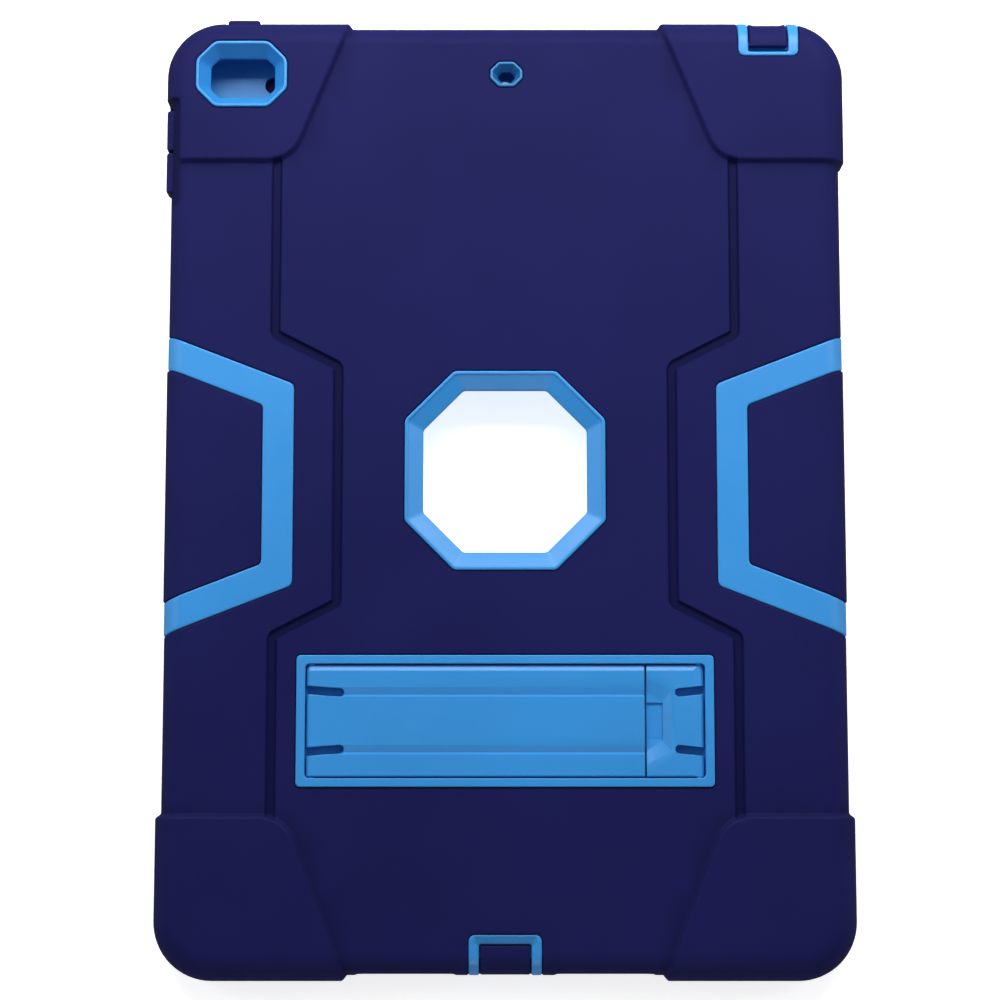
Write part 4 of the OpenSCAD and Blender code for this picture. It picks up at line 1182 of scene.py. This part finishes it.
def foot_parts():
    """Short foot with its finger scoop."""
    s, p = SCOOP, POCKET
    x0, half = FOOT[0][0], LEG_HALF + 1
    end = PLATE_END - KNUCKLE - BEVEL_W
    lines = [[(x0 - 1, y), (end, y)] for y in (LEG_HALF - BEVEL_W, BEVEL_NEAR - LEG_HALF)]
    lines.append([(end, -half), (end, half)])
    for q in (1, -1):
        lines.append([(x0, q * s["wide"]), (x0 + s["long"], q * s["narrow"]),
                      (x0 + s["low_long"], q * s["low_narrow"]), (x0, q * s["low_wide"])])
        for share in (0, 0.5, 1):
            y, x = q * (p["half"] - share * p["wall"]), x0 + p["long"] - share * p["far_wall"]
            lines.append([(x0 - 1, y), (x, y), (x, 0)])
    lines.append([(x0 + s["long"], s["narrow"]), (x0 + s["long"], -s["narrow"])])
    lines.append([(x0 + s["low_long"], s["low_narrow"]), (x0 + s["low_long"], -s["low_narrow"])])
    return turned(plate_parts(x0, FOOT_SLOT, foot_height, lines, FOOT_RIM), 0, STAND)


def with_pins(piece, hinge):
    """Adds the two pins of a stand plate."""
    x, _, z = HINGES[hinge]
    for s in (-1, 1):
        y0, y1 = sorted((s * (LEG_HALF - 0.2), s * (LEG_HALF + PIN_LONG)))
        pin = make_object("pin", [pin_part(x, z, PIN_R, y0, y1, 0.2)])
        combine(piece, pin, "UNION")
    return piece


# ---------------------------------------------------------------- flaps and pads

FLAP_T = 1.5
FLAP_GAP = 0.35
FLAP_SUNK = 0.15
WEB_T = 0.6
WEB_DEPTH = 0.45
WEB_Z = (1.7, 3.4)
FLAP_LOW = 1.25
FLAP_RIM = 0.4
HINGE_Y = {1: HINGES["audio_flap_hinge"][1], -1: -HINGES["charge_flap_hinge"][1]}


def flap_parts(port):
    """Port flap that follows the case's rolled edge, thinned to a web where it joins the sleeve."""
    half = port["half"] - POST_W - FLAP_GAP
    y0 = BODY[1] - port["reach"] + port["bar"] + port["open"]
    right, left = (end_line(port["x"] + s * half, y0, FLAP_LOW, port["end"]) for s in (1, -1))
    line = np.vstack([right, left[::-1]])
    line = line if port["end"] > 0 else line[::-1]
    fine = resampled(line, 1.5)
    lines = rim_rows(fine, FLAP_RIM, -1)
    x, end = port["x"], port["end"]
    for z in (3.4, 3.1, 2.8, 2.5, 2.2, 1.9, 1.7, 1.5):
        ends = [end_line(x + s * (half + 1), BODY[1], z, end)[-1] for s in (-1, 1)]
        lines.append((resampled(np.array(ends), 1.5, False), False))
    heights = [Z_SKIN - BACK_R * (1 - math.cos(math.pi / 2 * k / 9)) for k in range(1, 10)]
    for z in heights + [Z_SKIN - BACK_R - k * 1.1 for k in (1, 2, 3)]:
        ends = [end_line(x + s * (half + 1), BODY[1] - 9, z, end)[-1] for s in (-1, 1)]
        lines.append((resampled(np.array(ends), 1.5, False), False))
    flat, tris = triangles(lines)
    flat, tris = used_only(flat, tris[inside(flat[tris].mean(1), fine)])
    points, normals = wrapped(flat)
    web = smooth((WEB_Z[1] - 0.2 - points[:, 2]) / 1.0)
    points = points + bumper_shift(flat, normals, port["on_bumper"])
    top = -FLAP_SUNK - web * WEB_DEPTH
    bottom = -FLAP_SUNK - FLAP_T + web * (FLAP_T - WEB_T - WEB_DEPTH)
    edge = np.minimum(rim_drop(-depth_in(flat, fine, 1.0), FLAP_RIM), (top - bottom) * 0.4)
    slip = slab(tris, points + normals * (top - edge)[:, None], points + normals * bottom[:, None])
    return [slip], plug_part(port)


def plug_part(port):
    """Plug on a flap's inner face, with rounded edges."""
    y0, y1 = CAVITY[1] + 0.6, HINGE_Y[port["end"]]
    size = np.array([port["plug"], PLUG_H]) / 2
    rows = []
    for inset, y in ((0.5, y0), (0.18, y0 + 0.15), (0, y0 + 0.5), (0, y1)):
        line = rectangle(size - inset, 1.0 - inset, (0, 0), 5)
        rows.append(np.column_stack([port["x"] + line[:, 0], np.full(len(line), y * port["end"]),
                                     Z_MID + line[:, 1]]))
    return loft(rows, (True, True))


PRESS = 0.5
FLANGE_REACH, FLANGE_T = 1.2, 0.8


def pad_part(length, face, angle, at):
    """Press pad: rib, flange and a softly crowned cap, drawn with its face towards +Y."""
    flange = PAD_GAP + PRESS
    z_mid, half_z = sum(PAD_Z) / 2, (PAD_Z[1] - PAD_Z[0]) / 2
    rib = (RIB_X / 2, RIB_Z / 2, Z_MID)
    wide = (length / 2, half_z + FLANGE_REACH, z_mid)
    cap = (length / 2, half_z, z_mid)
    rows = []
    for (x, z, mid), inset, y in (
            (rib, 0.3, PRESS + 0.1 - WALL), (rib, 0, PRESS + 0.4 - WALL), (rib, 0, flange),
            (wide, 0.15, flange), (wide, 0, flange + 0.15), (wide, 0, flange + FLANGE_T - 0.15),
            (wide, 0.15, flange + FLANGE_T), (cap, 0, flange + FLANGE_T), (cap, 0, face - 0.85),
            (cap, 0.05, face - 0.52), (cap, 0.2, face - 0.27), (cap, 0.46, face - 0.1),
            (cap, 0.8, face - 0.04), (cap, 2.0, face)):
        line = rectangle((x - inset, z - inset), max(0.25, 0.7 - inset * 0.5), (0, 0), 5)
        rows.append(np.column_stack([line[:, 0], np.full(len(line), y), mid + line[:, 1]]))
    return turned(loft(rows, (True, True)), angle, at)


# ---------------------------------------------------------------- node trees

def linear(colour_hex):
    """Linear colour from an sRGB hex one."""
    parts = [int(colour_hex[i:i + 2], 16) / 255 for i in (1, 3, 5)]
    return [c / 12.92 if c <= 0.04045 else ((c + 0.055) / 1.055) ** 2.4 for c in parts]


def add(tree, kind, inputs=None, **settings):
    """Adds a node; inputs maps a socket to its value, or to the socket that feeds it."""
    node = tree.nodes.new(kind)
    for key, value in settings.items():
        setattr(node, key, value)
    for key, value in (inputs or {}).items():
        if isinstance(value, bpy.types.NodeSocket):
            tree.links.new(value, node.inputs[key])
        else:
            node.inputs[key].default_value = value
    return node


def noise(tree, place, size, detail=3.0, rough=0.5):
    """Noise whose features are about size millimetres across."""
    return add(tree, "ShaderNodeTexNoise", {"Vector": place, "Scale": 1 / (size * MM), "Detail": detail,
                                            "Roughness": rough}).outputs["Fac"]


def ranged(tree, value, low, high, from_low=0.35, from_high=0.65):
    """The value spread from one range to another; by default from where noise mostly lies."""
    return add(tree, "ShaderNodeMapRange", {"Value": value, "From Min": from_low, "From Max": from_high,
                                            "To Min": low, "To Max": high}).outputs["Result"]


def mixed(tree, factor, a, b):
    """Colour between a and b."""
    node = add(tree, "ShaderNodeMix", {"Factor": factor}, data_type="RGBA")
    node.inputs["A"].default_value[:3], node.inputs["B"].default_value[:3] = a, b
    return node.outputs["Result"]


def moulded(name, shade, colour, rough, grain, grain_depth, **surface):
    """Moulded plastic or rubber: a faint drift of colour and gloss, a flow ripple, a blasted grain, and shade
    painted into the colour where a point attribute asks for it.
    """
    material = bpy.data.materials.new(name)
    material.use_nodes = True
    tree = material.node_tree
    tree.nodes.clear()
    place = add(tree, "ShaderNodeTexCoord").outputs["Object"]
    drift = ranged(tree, noise(tree, place, 45, 3), 0, 1)
    tint = mixed(tree, drift, shade, colour)
    # painted shade: the colour darkens to 0.6 of itself where the point attribute of painted shade reaches 1
    deep = add(tree, "ShaderNodeAttribute", attribute_name="recess").outputs["Fac"]
    shadow = ranged(tree, deep, 1.0, 0.6, 0, 1)
    tint = add(tree, "ShaderNodeVectorMath", {0: tint, 1: shadow}, operation="MULTIPLY").outputs["Vector"]
    gloss = ranged(tree, noise(tree, place, 9, 4, 0.6), rough - 0.035, rough + 0.035)
    ripple = add(tree, "ShaderNodeBump", {"Height": noise(tree, place, 14, 1), "Strength": 0.25,
                                          "Distance": 0.06 * MM}).outputs["Normal"]
    bump = add(tree, "ShaderNodeBump", {"Height": noise(tree, place, grain, 2), "Strength": 0.6,
                                        "Distance": grain_depth * MM, "Normal": ripple}).outputs["Normal"]
    inputs = {"Base Color": tint, "Roughness": gloss, "Normal": bump, **surface}
    shader = add(tree, "ShaderNodeBsdfPrincipled", inputs).outputs["BSDF"]
    add(tree, "ShaderNodeOutputMaterial", {"Surface": shader})
    return material


SILICONE = "moulded silicone rubber, blasted finish"
POLYCARBONATE = "injection moulded polycarbonate, satin"


def material(name):
    """The case's two materials, made once."""
    if name in bpy.data.materials:
        return bpy.data.materials[name]
    case = bpy.context.scene.tablet_case
    if name == SILICONE:
        # soft, deep and nearly without gloss
        return moulded(name, np.array(case.sleeve_colour) * 0.88, case.sleeve_colour, case.sleeve_roughness,
                       case.sleeve_grain, 0.035, **{"IOR": 1.41, "Specular IOR Level": 0.06})
    # satin, with a clean highlight along every edge
    return moulded(name, np.array(case.shell_colour) * 0.94, case.shell_colour, case.shell_roughness,
                   case.shell_grain, 0.012, **{"IOR": 1.585, "Specular IOR Level": 0.35})


def tongue_part():
    """One snap tongue, drawn on a wall whose outwards is +Y, with a barb that leads in at its end."""
    t, thick, tip = TONGUE, -TONGUE["thick"], TONGUE["high"]
    barb = thick - t["barb"]
    profile = [(0, 0), (thick, 0), (thick, tip - 1.2), (barb, tip - 0.9), (barb, tip - 0.5), (thick, tip),
               (-0.15, tip), (0, tip - 0.15)]
    rows = []
    for x, inset in ((-t["wide"] / 2, 0.12), (0.12 - t["wide"] / 2, 0), (t["wide"] / 2 - 0.12, 0),
                     (t["wide"] / 2, 0.12)):
        middle = np.array([-t["thick"] / 2, t["high"] / 2])
        flat = np.array(profile, float)
        flat = flat + (middle - flat) * inset / t["high"]
        rows.append(np.column_stack([np.full(len(flat), x), flat]))
    return loft(rows, (True, True))


def tongues_tree():
    """Puts one tongue at each point, turned by the point's own angle."""
    tree = bpy.data.node_groups.new("snap tongues", "GeometryNodeTree")
    face = tree.interface
    face.new_socket("Places", in_out="INPUT", socket_type="NodeSocketGeometry")
    face.new_socket("Tongue", in_out="INPUT", socket_type="NodeSocketObject")
    face.new_socket("Material", in_out="INPUT", socket_type="NodeSocketMaterial")
    face.new_socket("Tongues", in_out="OUTPUT", socket_type="NodeSocketGeometry")
    given = add(tree, "NodeGroupInput").outputs
    shape = add(tree, "GeometryNodeObjectInfo", {"Object": given["Tongue"]}).outputs["Geometry"]
    angle = add(tree, "GeometryNodeInputNamedAttribute", {"Name": "turn"}, data_type="FLOAT")
    spin = add(tree, "ShaderNodeCombineXYZ", {"Z": angle.outputs["Attribute"]}).outputs["Vector"]
    made = add(tree, "GeometryNodeInstanceOnPoints",
               {"Points": given["Places"], "Instance": shape, "Rotation": spin}).outputs["Instances"]
    solid = add(tree, "GeometryNodeRealizeInstances", {"Geometry": made}).outputs["Geometry"]
    done = add(tree, "GeometryNodeSetMaterial", {"Geometry": solid, "Material": given["Material"]})
    add(tree, "NodeGroupOutput", {"Tongues": done.outputs["Geometry"]})
    return tree


def tongues_object():
    """The eight snap tongues as one plain mesh."""
    pattern = make_object("tongue", [tongue_part()], crease=25)
    places = tongue_places()
    mesh = bpy.data.meshes.new("tongue places")
    mesh.from_pydata([(x * MM, y * MM, Z_PART * MM) for (x, y), _ in places], [], [])
    mesh.attributes.new("turn", "FLOAT", "POINT").data.foreach_set("value", [a for _, a in places])
    host = bpy.data.objects.new("bezel_tongues", mesh)
    bpy.context.scene.collection.objects.link(host)
    step = host.modifiers.new("tongues", "NODES")
    step.node_group = tongues_tree()
    values = {"Tongue": pattern, "Material": material(POLYCARBONATE)}
    for item in step.node_group.interface.items_tree:
        if item.in_out == "INPUT" and item.name in values:
            step[item.identifier] = values[item.name]
    graph = bpy.context.evaluated_depsgraph_get()
    made = bpy.data.meshes.new_from_object(host.evaluated_get(graph))
    host.modifiers.remove(step)
    host.data = made
    bpy.data.objects.remove(pattern)
    return host


def settle(piece, body, nodes):
    """Gives a finished piece weighted normals and its body, and hides the CAD nodes it stands for."""
    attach(weighted(piece), body)
    return claim(piece, nodes)


def claim(piece, nodes):
    """Hides the CAD nodes that a finished piece stands for."""
    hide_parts(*nodes)
    return piece


# ---------------------------------------------------------------- the add-on

class TabletCaseSettings(bpy.types.PropertyGroup):
    """Looks of the case that can be changed without touching what fits together."""

    sleeve_colour: FloatVectorProperty(
        name="Sleeve colour", description="Colour of the silicone", subtype="COLOR",
        default=linear("#1a1b4f"), min=0, max=1)
    shell_colour: FloatVectorProperty(
        name="Shell colour", description="Colour of the polycarbonate", subtype="COLOR",
        default=linear("#3089cf"), min=0, max=1)
    sleeve_roughness: FloatProperty(
        name="Sleeve roughness", description="Surface roughness of the silicone",
        subtype="FACTOR", default=0.52, min=0.2, max=0.9)
    shell_roughness: FloatProperty(
        name="Shell roughness", description="Surface roughness of the polycarbonate",
        subtype="FACTOR", default=0.38, min=0.1, max=0.8)
    sleeve_grain: FloatProperty(
        name="Sleeve grain", description="Size of the silicone's blasted grain, in millimetres",
        default=0.45, min=0.1, max=2)
    shell_grain: FloatProperty(
        name="Shell grain", description="Size of the polycarbonate's satin grain, in millimetres",
        default=0.3, min=0.1, max=2)
    floor_colour: FloatVectorProperty(
        name="Floor colour", description="Colour of the floor", subtype="COLOR",
        default=linear("#f4f4f6"), min=0, max=1)
    floor_glow: FloatProperty(
        name="Floor glow", description="Light that the floor gives off, as a light table does",
        default=0.65, min=0, max=2)
    light_level: FloatProperty(
        name="Light level", description="Overall level of the lights", subtype="FACTOR",
        default=1.0, min=0, max=4)


class TABLETCASE_OT_sleeve(bpy.types.Operator):
    """Build the silicone sleeve"""

    bl_idname = "tablet_case.sleeve"
    bl_label = "Sleeve"

    def execute(self, context):
        # the sleeve's parts come with the shade to paint into its colour
        parts, recess = sleeve_parts()
        piece = make_object("sleeve", parts, material(SILICONE), recess=recess)
        settle(piece, "case", ["outer_skin"])
        return {"FINISHED"}


class TABLETCASE_OT_shell(bpy.types.Operator):
    """Build the hard shell with its collars, tray, chevrons and port surrounds"""

    bl_idname = "tablet_case.shell"
    bl_label = "Hard shell"

    def execute(self, context):
        piece = make_object("hard_shell", shell_parts())
        combine(piece, make_object("pockets", pocket_parts()), "DIFFERENCE")
        combine(piece, make_object("ribs", rib_parts()), "UNION")
        # painted shade on the charging port's bar
        mark_recess(piece.data, bar_recess(mesh_points(piece.data)))
        piece.data.materials.clear()
        piece.data.materials.append(material(POLYCARBONATE))
        settle(piece, "case", ["back_shell"])
        return {"FINISHED"}


class TABLETCASE_OT_bezel(bpy.types.Operator):
    """Build the front bezel and its snap tongues"""

    bl_idname = "tablet_case.bezel"
    bl_label = "Bezel"

    def execute(self, context):
        holes = [resampled(line, 4.0) for line in front_holes(0.0)] + [circle(PEG_R, PEG)]
        piece = make_object("bezel", [BEZEL_PAN.parts(holes)], material(POLYCARBONATE))
        settle(piece, "case", ["front_frame"])
        settle(tongues_object(), "case", ["front_frame"])
        return {"FINISHED"}


class TABLETCASE_OT_stand(bpy.types.Operator):
    """Build the folding leg and its foot"""

    bl_idname = "tablet_case.stand"
    bl_label = "Stand"

    def execute(self, context):
        for name, part, body in (("leg", leg_parts(), "leg"), ("foot", foot_parts(), "foot")):
            piece = make_object(f"stand_{name}_plate", [part], crease=22)
            with_pins(piece, f"{name}_hinge")
            finish_shading(piece.data, 22)
            piece.data.materials.clear()
            piece.data.materials.append(material(POLYCARBONATE))
            settle(piece, body, [f"stand_{name}"])
        return {"FINISHED"}


class TABLETCASE_OT_flaps(bpy.types.Operator):
    """Build the two port flaps, thinned to a web where they join the sleeve"""

    bl_idname = "tablet_case.flaps"
    bl_label = "Port flaps"

    def execute(self, context):
        for name, port in PORTS.items():
            slip, plug = flap_parts(port)
            piece = make_object(f"{name}_flap_cover", slip)
            combine(piece, make_object("plug", [plug]), "UNION")
            piece.data.materials.clear()
            piece.data.materials.append(material(SILICONE))
            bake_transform(piece)
            claim(piece, [f"{name}_port_flap"])
        return {"FINISHED"}


class TABLETCASE_OT_pads(bpy.types.Operator):
    """Build the power pad and the two volume pads"""

    bl_idname = "tablet_case.pads"
    bl_label = "Press pads"

    def execute(self, context):
        face = POWER[1][1] - SHELL[1]
        part = pad_part(POWER[1][0] - POWER[0][0], face, 0.0, (POWER_X, SHELL[1]))
        power = make_object("power_pad", [part], material(SILICONE), crease=50)
        settle(power, "power_button", ["power_button_pad"])
        for name, box, y in zip(("volume_down", "volume_up"), VOLUME, VOLUME_Y):
            low, high = box
            part = pad_part(high[1] - low[1], -low[0] - SHELL[0], math.pi / 2, (-SHELL[0], y))
            piece = make_object(f"{name}_cap", [part], material(SILICONE), crease=50)
            settle(piece, name, [f"{name}_pad"])
        return {"FINISHED"}


def area_light(name, size, power, at, towards, colour=(1, 1, 1)):
    """Large soft light that faces a point; sizes and places in metres."""
    lamp = bpy.data.lights.new(name, "AREA")
    lamp.shape, lamp.size, lamp.size_y, lamp.energy, lamp.color = "RECTANGLE", *size, power, colour
    thing = bpy.data.objects.new(name, lamp)
    thing.location = at
    thing.rotation_euler = (Vector(towards) - Vector(at)).to_track_quat("-Z", "Y").to_euler()
    bpy.context.scene.collection.objects.link(thing)
    return thing


# lens in mm, the point looked at, degrees back from straight above, and the distance away
CAMERA_LENS = 91.5
CAMERA_AIM = (-1.4, -3.1, 14.0)
CAMERA_TILT = 7.4
CAMERA_AWAY = 700.0


class TABLETCASE_OT_stage(bpy.types.Operator):
    """Set up the floor, the lights and the camera"""

    bl_idname = "tablet_case.stage"
    bl_label = "Stage"

    def execute(self, context):
        scene, case = context.scene, context.scene.tablet_case
        edge = rectangle((2400, 2400), 400, (0, 0), 8)
        floor = make_object("floor", [(at_height(edge, -0.05), [tuple(range(len(edge)))])])
        paint = bpy.data.materials.new("matt seamless paper")
        paint.use_nodes = True
        tree = paint.node_tree
        tree.nodes.clear()
        place = add(tree, "ShaderNodeTexCoord").outputs["Object"]
        # paper fibres, far finer than anything on the case
        tint = mixed(tree, ranged(tree, noise(tree, place, 60, 2), 0, 1), np.array(case.floor_colour) * 0.99,
                     case.floor_colour)
        bump = add(tree, "ShaderNodeBump", {"Height": noise(tree, place, 0.8, 3), "Strength": 0.1,
                                            "Distance": 0.05 * MM}).outputs["Normal"]
        shader = add(tree, "ShaderNodeBsdfPrincipled", {
            "Base Color": tint, "Roughness": 0.9, "Normal": bump,
            "Emission Color": (1, 1, 1, 1), "Emission Strength": case.floor_glow})
        add(tree, "ShaderNodeOutputMaterial", {"Surface": shader.outputs["BSDF"]})
        floor.data.materials.append(paint)
        floor.visible_glossy = False

        level = case.light_level
        area_light("far side softbox", (0.8, 0.25), 4.6 * level, (0.0, 0.38, 0.36), (0, 0.05, 0))
        area_light("left softbox", (0.3, 0.6), 1.3 * level, (-0.8, 0.2, 0.5), (0, 0, 0))
        area_light("right softbox", (0.3, 0.6), 1.3 * level, (0.8, 0.2, 0.5), (0, 0, 0))
        area_light("near side softbox", (0.9, 0.3), 2.0 * level, (0.0, -0.8, 0.6), (0, 0, 0))
        world = bpy.data.worlds.new("studio")
        world.use_nodes = True
        tree = world.node_tree
        tree.nodes.clear()
        sky = add(tree, "ShaderNodeBackground", {"Color": (1, 1, 1, 1), "Strength": 0.13 * level})
        add(tree, "ShaderNodeOutputWorld", {"Surface": sky.outputs["Background"]})
        scene.world = world
        scene.view_settings.view_transform = "Standard"

        lens = bpy.data.cameras.new("camera")
        lens.sensor_width, lens.lens = 36.0, CAMERA_LENS
        lens.clip_start, lens.clip_end = 0.02, 20.0
        camera = bpy.data.objects.new("camera", lens)
        aim = Vector(CAMERA_AIM) * MM
        tilt = math.radians(CAMERA_TILT)
        away = Vector((0, -math.sin(tilt), math.cos(tilt)))
        camera.location = aim + away * CAMERA_AWAY * MM
        camera.rotation_euler = away.to_track_quat("Z", "Y").to_euler()
        scene.collection.objects.link(camera)
        bpy.context.scene.camera = camera
        return {"FINISHED"}


class TABLETCASE_PT_panel(bpy.types.Panel):
    """Lists the steps and the settings"""

    bl_label = "Tablet case"
    bl_idname = "TABLETCASE_PT_panel"
    bl_space_type = "VIEW_3D"
    bl_region_type = "UI"
    bl_category = "Tablet case"

    def draw(self, context):
        for key in TabletCaseSettings.__annotations__:
            self.layout.prop(context.scene.tablet_case, key)
        for step in STEPS:
            self.layout.operator(step.bl_idname)


STEPS = (TABLETCASE_OT_sleeve, TABLETCASE_OT_shell, TABLETCASE_OT_bezel, TABLETCASE_OT_stand,
         TABLETCASE_OT_flaps, TABLETCASE_OT_pads, TABLETCASE_OT_stage)
CLASSES = (TabletCaseSettings, *STEPS, TABLETCASE_PT_panel)


def register():
    for cls in CLASSES:
        bpy.utils.register_class(cls)
    bpy.types.Scene.tablet_case = PointerProperty(type=TabletCaseSettings)


def unregister():
    del bpy.types.Scene.tablet_case
    for cls in reversed(CLASSES):
        bpy.utils.unregister_class(cls)


def main():
    register()
    for step in STEPS:
        group, name = step.bl_idname.split(".")
        getattr(getattr(bpy.ops, group), name)()


if __name__ == "__main__":
    main()
